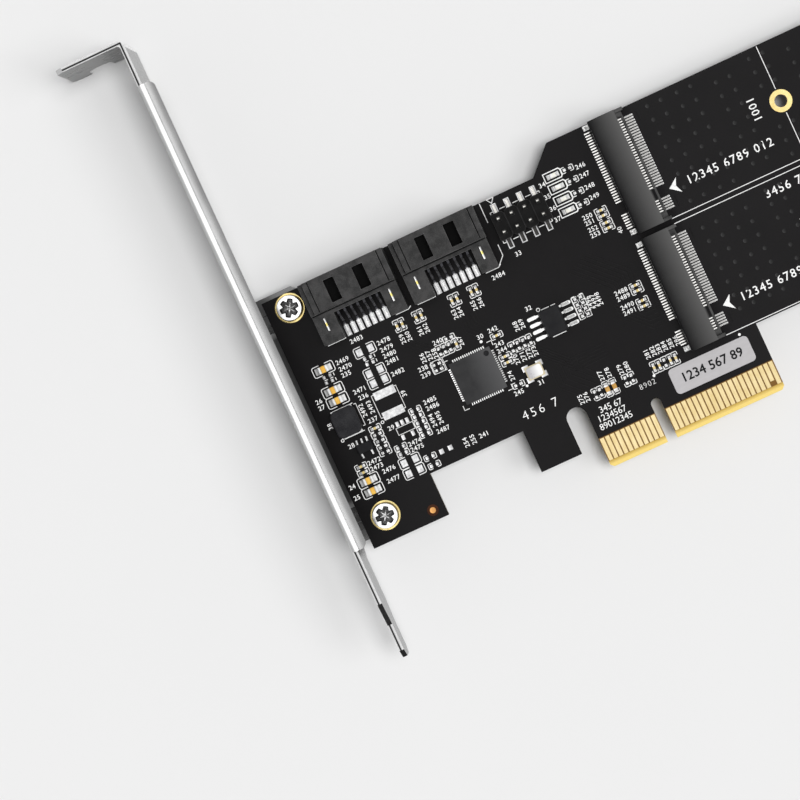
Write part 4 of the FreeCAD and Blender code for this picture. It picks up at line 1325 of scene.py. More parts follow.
class Solder:
    """The templates of solder mounds and tinned pads."""

    # Where the wedge's corners are along X and Z, and how far they fall
    FALLS = ((1.0, 1.0, 0.88), (0.5, 1.0, 0.62), (1.0, 0.5, 0.44), (0.5, 0.5, 0.3))
    # The corners that taper lie past these distances along Y and Z
    TAPER_FROM = (0.4, 0.3)
    TAPER = 0.8
    PAD_FOOT = 0.045
    PAD_RISES = ((0.04, 0.86), (0.015, 0.6))

    @classmethod
    def mound(cls) -> Piece:
        """Model a hollow wedge one millimetre long, wide and high that falls along +X.

        Returns:
            The template.
        """
        piece = Bench.block("mound", (0, -0.5, 0), (1, 0.5, 1))
        Bench.edit(piece, Pick.FACES, Bench.everything)
        bpy.ops.mesh.subdivide(number_cuts=1)
        for x, z, fall in cls.FALLS:
            Bench.edit(piece, Pick.CORNERS, lambda p, n: abs(p.x - x) < NEAR and abs(p.z - z) < NEAR)
            Bench.shift(0, 0, -fall)
        aside, high = cls.TAPER_FROM
        Bench.edit(piece, Pick.CORNERS, lambda p, n: abs(p.y) > aside and p.z > high)
        bpy.ops.transform.resize(value=(1, cls.TAPER, cls.TAPER))
        Bench.close()
        Bench.smooth(piece, angle=50)
        return piece

    @classmethod
    def pad(cls) -> Piece:
        """Model a low cushion of tin one millimetre long and wide and a tenth high.

        Returns:
            The template.
        """
        piece = Bench.block("pad", (-0.5, -0.5, 0), (0.5, 0.5, cls.PAD_FOOT))
        Bench.edit(piece, Pick.FACES, lambda p, n: n.z > UPWARDS)
        for height, scale in cls.PAD_RISES:
            Bench.rise(height, scale)
        Bench.close()
        Bench.smooth(piece, angle=60)
        return piece


@dataclass(frozen=True)
class Bundle:
    """Tracks that run side by side."""

    corners: Run
    count: int
    step: Point


@dataclass
class Board:
    """The circuit board with its fingers, holes, tracks, label and alignment mark."""

    label_low: Point = (4.17, 6.85)
    label_high: Point = (19.65, 11.7)
    label_corner: float = 0.8
    label_thickness: float = 0.09
    label_edge: float = 0.03
    rim: float = 2.04
    bore: float = 1.19
    rim_sides: int = 48
    rim_edge: float = 0.02
    mark_sides: int = 32
    mark_rises: Steps = ((FOIL * 0.7, 1.0), (FOIL * 0.3, 0.9))
    clear: float = 1.05
    clear_sides: int = 40
    clear_rises: Steps = ((0.012, 0.98),)
    via_radius: float = 0.4
    via_sides: int = 10
    via_rises: Steps = ((0.03, 0.8), (0.02, 0.6))
    via_pitch: float = 2.65
    via_columns: Point = (20.7, 26.5)
    via_repeat: float = 7.05
    via_row: float = 56.15
    via_rows: int = 16
    via_pairs: int = 10
    via_right: float = 94.5
    via_bottom: float = 13.9
    via_from_rim: float = 0.6
    via_from_line: float = 0.5
    label_number: str = "1234 567 89"
    label_number_size: float = 2.4
    label_number_squeeze: float = 0.99
    label_number_weight: float = 0.045
    bundles: tuple[Bundle, ...] = (
        Bundle(((-4.5, 35.0), (1.2, 29.3), (1.2, 27.0)), 7, (0.75, 0.3)),
        Bundle(((0.5, 24.2), (5.2, 19.5), (8.2, 19.5)), 6, (0.0, 0.8)),
        Bundle(((-9.0, 6.2), (-9.0, 11.4), (-14.6, 17.0), (-14.6, 19.8)), 6, (1.0, 0.4)),
        Bundle(((-36.5, 38.2), (-36.5, 34.9), (-32.4, 30.8)), 4, (0.6, 0.25)),
        Bundle(((-25.6, 35.2), (-25.6, 33.0), (-24.0, 31.4)), 6, (0.6, 0.25)),
        Bundle(((-22.0, 24.0), (-16.0, 24.0), (-10.5, 18.5), (-4.0, 18.5)), 5, (0.0, 0.6)),
        Bundle(((18.45, 37.6), (18.45, 39.7)), 2, (0.0, -22.95)),
        Bundle(((18.45, 54.25), (18.45, 56.25)), 2, (0.0, -22.95)))

    def build(self) -> None:
        """Dress the board and model what lies on it."""
        Bench.coat("circuit_board", MASK)
        Bench.coat("edge_contacts_front", GOLD)
        Bench.coat("edge_contacts_rear", GOLD)
        self.plated_holes()
        self.label()
        self.alignment_mark()
        self.covered_holes()
        self.tracks()

    def plated_holes(self) -> None:
        """Model the plated rims and walls of the drive holes."""
        profile = ((self.rim, BOARD_TOP), (self.bore, BOARD_TOP), (self.bore, BOARD_UNDER),
                   (self.rim, BOARD_UNDER))
        piece = Bench.turned("drive_hole_plating", self.rim_sides, profile)
        outward = any(f.normal.z > UPWARDS and f.center.z > 0 for f in piece.data.polygons)
        Bench.apply(piece, "SOLIDIFY", thickness=FOIL * MM, offset=1.0 if outward else -1.0)
        Bench.round_edges(piece, self.rim_edge, steps=1)
        spots = [place((x, row, 0)) for row in LAYOUT.drive_rows for x in LAYOUT.drive_holes]
        piece = Bench.stamp("drive_hole_plating", piece, spots)
        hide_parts("drive_hole_rims")
        Bench.dress(piece, RING_GOLD, "gold_plate")

    def label(self) -> None:
        """Model the bare label with its round corners."""
        low = (*self.label_low, BOARD_TOP)
        high = (*self.label_high, BOARD_TOP + self.label_thickness)
        piece = Bench.slab("bare_label", low, high, self.label_corner, steps=8)
        Bench.round_edges(piece, self.label_edge, steps=2)
        Bench.dress(piece, LABEL_FILM, "label_film")
        print_lines = Lines("label_numbers", base=BOARD_TOP + self.label_thickness,
                            number_size=self.label_number_size, number_squeeze=self.label_number_squeeze)
        middle = tuple((low + high) / 2 for low, high in zip(self.label_low, self.label_high))
        print_lines.number(Number(self.label_number, middle, spacing=1.0, weight=self.label_number_weight))
        Bench.dress(print_lines.build(), LABEL_INK, "print_ink")

    def alignment_mark(self) -> None:
        """Model the copper dot of the alignment mark in its clear ring."""
        span = solids("alignment_mark")[0]
        spots = [place((*span.middle.xy, BOARD_TOP))]
        dot = Bench.heap("alignment_dot", span.size.x / 2, 0, self.mark_sides, self.mark_rises)
        Bench.smooth(dot, angle=40)
        dot = Bench.stamp("alignment_dot", dot, spots)
        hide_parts("alignment_mark")
        Bench.dress(dot, COPPER, "gold_plate")
        ring = Bench.heap("alignment_clearing", self.clear, 0, self.clear_sides, self.clear_rises)
        ring = Bench.stamp("alignment_clearing", ring, spots)
        Bench.dress(ring, LAMINATE, "board_mask")

    def covered_holes(self) -> None:
        """Model the low domes of the holes that the mask covers, darker than the mask as a painted shade.
        """
        dome = Bench.heap("covered_holes", self.via_radius, 0, self.via_sides, self.via_rises)
        Bench.smooth(dome, angle=70)
        clear = [spot for spot in self.covered_spots() if not self.crowded(spot)]
        dome = Bench.stamp("covered_holes", dome, [place((x, y, BOARD_TOP)) for x, y in clear])
        Bench.dress(dome, DOME, "board_mask")

    def covered_spots(self) -> list[Point]:
        """The places of the covered holes: pairs of columns, each second pair half a step lower.

        Returns:
            The places.
        """
        first, second = self.via_columns
        starts = [first] + [second + step * self.via_repeat for step in range(self.via_pairs)]
        spots = []
        for pair, start in enumerate(starts):
            drop = 0.0 if pair in (0, 1) or pair % 2 else self.via_pitch / 2
            for x in (start, start + self.via_pitch):
                top = self.via_row - drop
                spots.extend((x, top - row * self.via_pitch) for row in range(self.via_rows))
        return [(x, y) for x, y in spots if x < self.via_right and y > self.via_bottom]

    def crowded(self, spot: Point) -> bool:
        """Tell whether a covered hole would meet a drive hole or a printed line.

        Args:
            spot: The covered hole's place.

        Returns:
            True if the place is taken.
        """
        x, y = spot
        holes = [(hole, row) for hole in LAYOUT.drive_holes for row in LAYOUT.drive_rows]
        lines = [y - line for line in LAYOUT.drive_lines] + [x - hole for hole in LAYOUT.drive_holes]
        near_hole = any(math.hypot(x - a, y - b) < self.rim + self.via_from_rim for a, b in holes)
        return near_hole or any(abs(away) < self.via_from_line for away in lines)

    def tracks(self) -> None:
        """Model the copper tracks that show through the mask."""
        lines = Lines("covered_tracks")
        for bundle in self.bundles:
            for step in range(bundle.count):
                lines.line(*moved(bundle.corners, *(step * move for move in bundle.step)))
        Bench.dress(lines.build(), TRACK, "board_mask")


@dataclass
class BoardPrint:
    """The white print: outlines, brackets, marks and plain running numbers."""

    fine: Lines = field(default_factory=lambda: Lines("board_print", 0.16))
    bold: Lines = field(default_factory=lambda: Lines("board_frames", 0.26))
    board_right: float = 95.4
    port_runs: tuple[Run, ...] = (
        ((5.2, 41.15), (7.7, 41.15), (8.3, 41.55)), ((-8.3, 41.15), (-4.75, 41.15), (-4.75, 44.6)))
    last_port_runs: tuple[Run, ...] = (
        ((9.3, 53.0), (9.3, 49.2)), ((9.3, 44.9), (9.3, 42.8), (7.97, 41.4)))
    header_ends: Point = (-12.8, -3.2)
    header_rows: Point = (50.6, 44.65)
    header_stub: float = 0.6
    header_dash: Point = (-10.95, -9.9)
    first_pin: Run = ((-12.45, 53.0), (-11.15, 53.0), (-11.8, 52.1))
    controller: Point = (-26.95, 25.05)
    controller_half: float = 4.75
    controller_arm: float = 0.9
    chip_runs: tuple[Run, ...] = (
        ((-11.8, 31.0), (-10.2, 31.0)), ((-9.9, 31.0), (-9.0, 31.0)), ((-11.8, 25.7), (-9.2, 25.7)),
        ((-53.6, 30.05), (-49.6, 30.05)), ((-53.6, 24.65), (-49.6, 24.65)),
        ((-49.5, 29.75), (-49.1, 29.75), (-49.1, 25.5), (-49.5, 25.5)),
        ((-45.5, 29.7), (-46.0, 29.7), (-46.0, 25.3), (-45.5, 25.3)),
        ((-41.65, 29.7), (-41.15, 29.7), (-41.15, 25.3), (-41.65, 25.3)))
    boxes: tuple[tuple[Point, Point], ...] = (
        ((-33.8, 28.4), (-31.5, 30.7)), ((-6.1, 26.4), (-5.1, 30.6)), ((-4.75, 26.4), (-3.75, 30.6)),
        ((-44.4, 21.2), (-41.15, 22.5)))
    dots: tuple[tuple[Point, float], ...] = (
        ((-23.9, 30.35), 0.28), ((-19.7, 19.7), 0.25), ((1.7, 11.85), 0.25), ((18.6, 12.2), 0.25))
    rings: tuple[tuple[Point, float], ...] = (
        ((-12.23, 31.25), 0.3), ((-54.05, 24.55), 0.25), ((-46.1, 24.6), 0.25))
    large_clasp: Triple = (4.05, 1.95, 1.1)
    middle_clasp: Triple = (2.95, 1.15, 1.1)
    small_clasp: Triple = (2.25, 1.05, 0.9)
    vacant_clasp: Triple = (2.3, 1.05, 0.9)
    large_vacant: Run = ((-43.55, 37.7), (-43.55, 33.5), (-43.55, 31.6), (-44.55, 16.2), (-44.55, 14.15))
    vacant_pairs: Run = ((-51.75, 35.72), (-43.65, 35.72))
    pair_runs: tuple[Run, ...] = (
        ((-0.72, 0.0), (-0.1, 0.0)), ((0.4, 0.0), (1.02, 0.0)), ((1.3, 0.2), (1.3, 0.75)),
        ((1.3, -0.75), (1.3, -0.2)))
    light_frame: Run = (
        (-1.45, -0.85), (1.55, -0.85), (1.8, -0.55), (1.8, 0.55), (1.55, 0.85), (-1.45, 0.85))
    drive_line_starts: Triple = (16.3, 16.3, 16.1)
    drive_top: float = 57.6
    hole_clear: float = 2.3
    arrow: Run = ((18.1, 41.1), (20.0, 39.65), (19.4, 41.1), (20.0, 42.5))
    # Numbers placed from each drive hole and from each row of holes
    hole_number: Number = Number("1001", (-4.88, 0.57), Facing.UP, 1.75, 1.12, 0.014)
    row_number: Number = Number("12345 6789 012", (29.9, -5.95), Facing.RIGHT, 1.85, 1.16, 0.014)
    large_numbers: tuple[Number, ...] = (
        Number("3456 7", (36.6, 32.9), Facing.RIGHT, 1.85, 1.16, 0.014),
        Number("456 7", (-19.3, 14.9), Facing.RIGHT, 2.0, 1.32, -0.025),
        Number("345 67", (-7.6, 10.2), Facing.RIGHT, 1.4, 0.95, 0.0),
        Number("1234567", (-8.0, 8.75), Facing.RIGHT, 1.4, 0.95, 0.0),
        Number("89012345", (-7.8, 7.3), Facing.RIGHT, 1.4, 0.95, 0.0),
        Number("8902", (0.0, 10.9), Facing.RIGHT, 1.2, 1.15, -0.025))
    # The number before the first one of each count of digits
    before_first: tuple[tuple[int, int], ...] = ((2, 23), (3, 234), (4, 2468))
    number_columns: tuple[Group, ...] = (
        (-56.0, 2, (16.2, 14.1)), (-55.0, 2, (32.7, 31.5)), (-48.05, 4, (37.7, 36.4)),
        (-48.4, 3, (35.2,)), (-47.4, 4, (31.55,)), (-47.3, 3, (30.2,)), (-47.5, 3, (25.7,)),
        (-53.0, 2, (23.0,)), (-45.1, 2, (23.0,)), (-50.4, 4, (18.85, 17.7)), (-42.3, 4, (18.9, 17.8)),
        (-48.6, 4, (16.4, 14.45)), (-39.8, 4, (37.8, 36.4, 35.2, 33.95, 31.65)), (-44.1, 4, (40.1,)),
        (-16.1, 4, (39.8,)), (-36.7, 4, (24.6, 23.4, 18.85)), (-35.4, 3, (30.3, 29.05)),
        (-31.0, 3, (33.6,)), (-30.4, 3, (14.95,)), (-23.7, 2, (31.2,)), (-21.1, 3, (31.45, 28.6, 27.4)),
        (-21.5, 3, (19.2,)), (-17.1, 2, (19.2,)), (-13.7, 2, (32.2,)), (-11.2, 2, (41.9,)),
        (-2.25, 2, (51.2, 48.9, 46.6, 44.5)), (5.4, 3, (51.5, 49.75, 47.5, 45.5)),
        (2.75, 3, (42.7, 41.6, 40.3, 39.2)), (2.6, 4, (28.0, 26.9, 25.2, 24.1)))
    number_rows: tuple[Group, ...] = (
        (27.8, 2, (-55.0,)), (28.0, 4, (-48.4, -46.9)), (27.7, 2, (-40.4,)), (21.1, 4, (-37.7, -36.4)),
        (15.0, 3, (-33.9, -32.5)), (32.0, 3, (-34.6, -33.4)), (31.9, 3, (-32.3,)),
        (36.7, 3, (-36.5, -35.3, -33.0, -31.8)), (36.8, 3, (-26.1, -25.0, -22.3, -21.0)),
        (32.0, 3, (-27.2,)), (30.2, 3, (-17.0, -15.9)), (24.8, 3, (-19.4, -18.1, -16.9, -15.8)),
        (22.5, 3, (-21.5,)), (28.5, 4, (-3.3, -2.4, -1.5)), (13.4, 3, (-11.9, -10.8)),
        (15.8, 3, (-6.9, -5.5)), (15.4, 3, (-3.3, -2.0)), (15.9, 3, (2.2, 3.4, 4.5, 5.6, 6.8, 8.0)),
        (38.1, 2, (7.1,)))

    def build(self) -> None:
        """Lay all of the print and model its fine and its bold lines."""
        self.port_lines()
        self.header_lines()
        self.chip_lines()
        self.part_brackets()
        self.drive_lines()
        self.drive_numbers()
        self.running_numbers()
        for lines in (self.fine, self.bold):
            Bench.dress(lines.build(), INK, "print_ink")

    def port_lines(self) -> None:
        """Lay the outlines beside the drive ports."""
        for port in LAYOUT.ports:
            for run in self.port_runs:
                self.fine.line(*moved(run, port))
        for run in self.last_port_runs:
            self.fine.line(*moved(run, LAYOUT.ports[-1]))

    def header_lines(self) -> None:
        """Lay the header's dashes, its ends and its first-pin mark."""
        start, end = self.header_dash
        for y in self.header_rows:
            for gap in range(LAYOUT.header_gaps):
                self.fine.line(*moved(((start, y), (end, y)), gap * LAYOUT.header_pitch))
        for x, stub in zip(self.header_ends, (self.header_stub, -self.header_stub)):
            self.fine.line(*[(x, y) for y in self.header_rows])
            for y in self.header_rows:
                self.fine.line((x, y), (x + stub, y))
        self.bold.loop(*self.first_pin)

    def chip_lines(self) -> None:
        """Lay the controller's corners, and the lines, boxes, dots and rings beside the other chips."""
        half, arm = self.controller_half, self.controller_arm
        for side_x in (-1, 1):
            for side_y in (-1, 1):
                x, y = self.controller[0] + side_x * half, self.controller[1] + side_y * half
                self.fine.line((x - side_x * arm, y), (x, y), (x, y - side_y * arm))
        for run in self.chip_runs:
            self.fine.line(*run)
        for low, high in self.boxes:
            self.fine.box(low, high)
        for spot, radius in self.dots:
            self.fine.dot(spot, radius)
        for spot, radius in self.rings:
            self.fine.ring(spot, radius)

    def part_brackets(self) -> None:
        """Lay rounded brackets round the chip parts, their vacant twins and the lights."""
        for span in solids("large_capacitors"):
            self.fine.clasp(span.middle.xy, *self.large_clasp)
        for spot in self.large_vacant:
            self.fine.clasp(spot, *self.large_clasp)
        for spot in LAYOUT.vacant:
            self.fine.clasp(spot, *self.vacant_clasp)
        for pair in self.vacant_pairs:
            for run in self.pair_runs:
                self.fine.line(*moved(run, *pair))
        for span in solids("small_capacitors") + solids("resistors"):
            self.fine.clasp(span.middle.xy, *self.small_clasp, span.upright)
        for span in solids("middle_capacitors"):
            self.fine.clasp(span.middle.xy, *self.middle_clasp, True)
        for span in solids("light_lenses"):
            self.bold.loop(*moved(self.light_frame, y=span.middle.y))

    def drive_lines(self) -> None:
        """Lay the lines and arrows of the drive area."""
        upper, middle, lower = LAYOUT.drive_lines
        for start, y in zip(self.drive_line_starts, LAYOUT.drive_lines):
            self.fine.line((start, y), (self.board_right, y))
        for row, low, high in zip(LAYOUT.drive_rows, (upper, lower), (self.drive_top, middle)):
            for x in LAYOUT.drive_holes:
                self.fine.line((x, low), (x, row - self.hole_clear))
                self.fine.line((x, row + self.hole_clear), (x, high))
            self.fine.patch(*moved(self.arrow, y=row - LAYOUT.drive_rows[0]))

    def drive_numbers(self) -> None:
        """Set plain numbers beside the drive holes, the arrows and the fingers."""
        for row in LAYOUT.drive_rows:
            for order, hole in enumerate(LAYOUT.drive_holes):
                text = str(int(self.hole_number.text) + order)
                spot = (hole + self.hole_number.spot[0], row + self.hole_number.spot[1])
                self.fine.number(replace(self.hole_number, text=text, spot=spot))
            x, y = self.row_number.spot
            self.fine.number(replace(self.row_number, spot=(x, row + y)))
        for number in self.large_numbers:
            self.fine.number(number)

    def running_numbers(self) -> None:
        """Set plain running numbers beside the parts, apart for two, three and four digits."""
        columns, rows = self.number_columns, self.number_rows
        spots = [(digits, (x, y), Facing.RIGHT) for x, digits, column in columns for y in column]
        spots += [(digits, (x, y), Facing.UP) for y, digits, row in rows for x in row]
        last = dict(self.before_first)
        for digits, spot, facing in spots:
            last[digits] += 1
            self.fine.number(Number(str(last[digits]), spot, facing))


@dataclass
class Bracket:
    """The folded slot bracket with its screws and their plated rims."""

    edge: float = 0.12
    inner: float = -58.8
    feet: float = -0.6
    flange: Point = (6.1, 96.4)
    tab: float = 103.0
    tab_end: float = -70.0
    # How far the normals of the repainted faces reach along an axis
    inside_way: float = 0.7
    rim_ways: Point = (0.3, 0.2)
    edge_way: float = 0.93
    end_way: float = -0.3
    foot_way: float = -0.2
    under_way: float = -0.35
    # Radii, and the height and the narrowing of the head's foot and of the shank's tip
    head: float = 2.3
    head_foot: Point = (0.06, 0.96)
    crown: Steps = ((0.05, 0.985), (0.06, 0.97), (0.02, 0.75), (0.015, 0.62))
    shank: float = 1.45
    shank_tip: Point = (0.35, 0.8)
    screw_sides: int = 40
    lobes: int = 6
    recess: float = 1.88
    recess_sides: int = 24
    recess_over: float = 0.4
    recess_wall: float = 0.6
    recess_slack: float = 0.05
    recess_point: Point = (0.45, 0.2)
    recess_floor: float = 0.8
    recess_waist: float = 0.66
    recess_deep: float = 0.9
    rim_sides: int = 48
    rim_profile: Run = (
        (2.75, 0.0), (2.73, 0.05), (2.66, 0.075), (2.4, 0.098), (2.35, 0.04), (1.62, 0.04), (1.62, 0.0),
        (2.75, 0.0))

    def build(self) -> None:
        """Dress the sheet and model the screws and rims."""
        sheet = Bench.soften("slot_bracket_sheet", "slot_bracket", self.edge, steps=3)
        Bench.dress(sheet, STEEL, "bracket_steel")
        across, up = self.rim_ways
        # Painted light on the sheet: painted shade on its inner faces, its feet, the tail's sloped edges
        # and the tab's lower faces, and painted highlights on its rims and top edges past the flange
        tests: tuple[tuple[Finish, Test], ...] = (
            (INSIDE_SHADE_STEEL, lambda spot, way: self.hollow(spot) and way.x > self.inside_way),
            (FEET_SHADE_STEEL, lambda spot, way: self.hollow(spot) and spot.z < self.feet),
            (RIM_HIGHLIGHT_STEEL, lambda spot, way: self.beyond(spot) and (way.x > across or way.z > up)),
            (TOP_HIGHLIGHT_STEEL, lambda spot, way: self.beyond(spot) and way.z > self.edge_way),
            (STEEL, lambda spot, way: spot.x < self.tab_end and way.x < self.end_way),
            (SLOPE_SHADE_STEEL, lambda spot, way: spot.y < self.flange[0] and way.y < self.foot_way),
            (TAB_SHADE_STEEL, lambda spot, way: spot.y > self.tab and way.y < self.under_way))
        for finish, test in tests:
            Bench.repaint(sheet, finish, test)
        self.screws()
        self.rims()

    def beyond(self, spot: Vector) -> bool:
        """Tell whether a place on the sheet is past the ends of the flange."""
        return not self.flange[0] < spot.y < self.flange[1]

    def hollow(self, spot: Vector) -> bool:
        """Tell whether a place is on the sheet's inside, between the ends of the flange."""
        return not self.beyond(spot) and self.inner < spot.x

    def screws(self) -> None:
        """Model a pan-head screw with a six-lobed recess, and copy it."""
        spans = solids("board_screws")
        seat, tip, top = BOARD_TOP + FOIL, spans[0].low.z, spans[0].high.z
        (tip_rise, tip_share), (foot_rise, foot_share) = self.shank_tip, self.head_foot
        crown_rise = sum(height for height, _ in self.crown)
        rises = (
            (tip_rise, 1 / tip_share), (seat - tip - tip_rise, 1.0),
            (0.0, self.head * foot_share / self.shank), (foot_rise, 1 / foot_share),
            (top - seat - foot_rise - crown_rise, 1.0), *self.crown)
        screw = Bench.heap("screw", self.shank * tip_share, tip, self.screw_sides, rises, outward=True)
        self.cut_recess(screw, top)
        Bench.smooth(screw, angle=32)
        spots = [place((span.middle.x, span.middle.y, 0)) for span in spans]
        piece = Bench.stamp("board_screw_pair", screw, spots)
        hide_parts("board_screws")
        Bench.dress(piece, SCREW_STEEL, "screw_steel")
        ledge = top - self.recess_deep - NEAR + self.recess_slack
        deepest = top - self.recess_deep - NEAR - self.recess_point[1]

        def in_recess(spot: Vector, way: Vector) -> bool:
            """Tell whether a face is a wall or the floor of a recess."""
            away = min((spot - span.middle).xy.length for span in spans)
            return away < self.recess and spot.z > deepest and (way.z < self.recess_wall or spot.z < ledge)

        def on_floor(spot: Vector, way: Vector) -> bool:
            """Tell whether a face is the floor of a recess."""
            return in_recess(spot, way) and way.z > UPWARDS and spot.z < deepest + self.recess_slack

        # Painted shade in each recess, and painted glints on its floor
        Bench.repaint(piece, RECESS_SHADE_STEEL, in_recess)
        Bench.repaint(piece, GLINT_STEEL, on_floor)

    def cut_recess(self, screw: Piece, top: float) -> None:
        """Sink the six-lobed recess into the head.

        Args:
            screw: The screw, about the Z axis.
            top: The top of its head.
        """
        floor = self.recess * self.recess_floor
        cutter = Bench.circle("recess_cutter", floor, top - self.recess_deep, self.recess_sides, True)
        turn = 2 * math.pi / self.recess_sides
        lobe = self.recess_sides // self.lobes
        waist = lobe // 2
        Bench.edit(cutter, Pick.CORNERS, lambda p, n: round(math.atan2(p.y, p.x) / turn) % lobe == waist)
        bpy.ops.transform.resize(value=(self.recess_waist, self.recess_waist, 1))
        Bench.edit(cutter, Pick.FACES, Bench.everything)
        Bench.rise(self.recess_deep + self.recess_over, 1 / self.recess_floor)
        point, deep = self.recess_point
        Bench.edit(cutter, Pick.FACES, lambda p, n: p.z < top - self.recess_deep + NEAR)
        bpy.ops.mesh.inset(thickness=point * MM)
        Bench.shift(0, 0, -deep)
        Bench.close(outward=True)
        Bench.cut(screw, cutter)

    def rims(self) -> None:
        """Model the gold rims under the screw heads."""
        spans = solids("screw_rims")
        rim = Bench.turned("rim", self.rim_sides, self.rim_profile)
        Bench.smooth(rim, angle=60)
        spots = [place((*span.middle.xy, BOARD_TOP)) for span in spans]
        piece = Bench.stamp("screw_hole_plating", rim, spots)
        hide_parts("screw_rims")
        Bench.dress(piece, RING_GOLD, "gold_plate")


@dataclass
class DrivePorts:
    """The two drive ports: housings, contacts, board locks and painted shade lines in their inner corners.
    """

    numbers: tuple[int, ...] = (1, 2)
    edge: float = 0.14
    contact_edge: float = 0.04
    lock_edge: float = 0.08
    # The width of the painted shade lines
    crease: float = 0.26
    corners: tuple[tuple[float, tuple[Run, ...]], ...] = (
        (7.55, (((-6.44, 47.1), (-6.44, 52.9)), ((7.04, 47.1), (7.04, 52.9)))),
        (5.6, (((-7.59, 47.1), (-7.59, 52.9)),)),
        (4.6, (((-8.3, 46.85), (7.8, 46.85)),)))
    cavity_half: float = 6.6
    cavity_back: float = 0.4
    roof: float = 2.6
    # How far the normals of the repainted faces point up
    edge_ways: Point = (0.3, 0.95)
    floor_way: float = 0.5

    def build(self) -> None:
        """Dress both ports."""
        for number in self.numbers:
            node = f"drive_port_housing_{number}"
            housing = Bench.soften(f"port_housing_{number}", node, self.edge)
            Bench.dress(housing, PORT_PLASTIC, "port_plastic")
            middle = solids(node)[0].middle
            low, high = self.edge_ways
            # Painted highlight on the housing's bevels
            Bench.repaint(housing, PORT_BEVEL_HIGHLIGHT, lambda spot, way: low < way.z < high)
            # Painted shade on the floors inside the shroud
            Bench.repaint(housing, PORT_HOLLOW_SHADE, lambda spot, way: self.inside(spot - middle, way))
            contacts = Bench.soften(f"port_contacts_{number}", f"drive_port_contacts_{number}",
                                    self.contact_edge, steps=1)
            # The pins carry a painted shadow on their shoulders
            Bench.dress(contacts, PORT_SHADOWED_CONTACT, "contact_metal")
            locks = Bench.soften(f"port_locks_{number}", f"drive_port_locks_{number}", self.lock_edge)
            Bench.dress(locks, LOCK, "tinned_metal")
        self.creases()

    def creases(self) -> None:
        """Model the painted shade lines in the inner corners of the housings."""
        for order, (height, runs) in enumerate(self.corners):
            lines = Lines(f"port_creases_{order + 1}", self.crease, BOARD_TOP + height)
            for port in LAYOUT.ports:
                for run in runs:
                    lines.line(*moved(run, port))
            Bench.dress(lines.build(), PORT_CORNER_SHADE, "port_plastic")

    def inside(self, spot: Vector, way: Vector) -> bool:
        """Tell whether a face, placed from the housing's middle, is a floor inside the shroud."""
        within = abs(spot.x) < self.cavity_half and spot.y > self.cavity_back and spot.z < self.roof
        return within and way.z > self.floor_way


@dataclass
class DriveSockets:
    """The two solid-state-drive sockets: housings, contact rows, solder clamps and pads."""

    numbers: tuple[int, ...] = (1, 2)
    edge: float = 0.09
    contact_edge: float = 0.03
    clamp_edge: float = 0.06
    pad_widths: Point = (0.25, 0.295)
    lip: float = 15.0
    rear_pad: Point = (8.4, 9.3)
    front_pad: Point = (16.1, 17.65)

    def build(self) -> None:
        """Dress both sockets and model the pads of their contacts."""
        for number in self.numbers:
            stem = f"ssd_socket_{{}}_{number}"
            housing = Bench.soften(f"socket_housing_{number}", stem.format("housing"), self.edge)
            # The housing's plastic carries a painted sheen towards its mouth
            Bench.dress(housing, SOCKET_SHEEN_PLASTIC, "socket_plastic")
            # Painted sheen on the lip
            Bench.repaint(housing, LIP_SHEEN_PLASTIC, lambda spot, way: spot.x > self.lip)
            for row in ("upper", "lower"):
                contacts = Bench.soften(f"socket_{row}_row_{number}", stem.format(f"{row}_contacts"),
                                        self.contact_edge, steps=1)
                # The upper row's contacts carry a painted shadow near the housing
                Bench.dress(contacts, REAR_SHADOWED_CONTACT if row == "upper" else CONTACT, "contact_metal")
            clamps = Bench.soften(f"socket_clamps_{number}", stem.format("clamps"), self.clamp_edge)
            Bench.dress(clamps, CLAMP, "tinned_metal")
            self.pads(number)

    def pads(self, number: int) -> None:
        """Model the tinned pads under one socket's contacts.

        Args:
            number: The socket's number.
        """
        spots = []
        rows = (("upper", self.rear_pad), ("lower", self.front_pad))
        for (row, (left, right)), width in zip(rows, self.pad_widths):
            scale = (right - left, width, 1.0)
            for span in solids(f"ssd_socket_{row}_contacts_{number}"):
                spots.append(place(((left + right) / 2, span.middle.y, BOARD_TOP), Facing.RIGHT, scale))
        Bench.dress(Bench.stamp(f"socket_pads_{number}", Solder.pad(), spots), SOLDER, "tinned_metal")


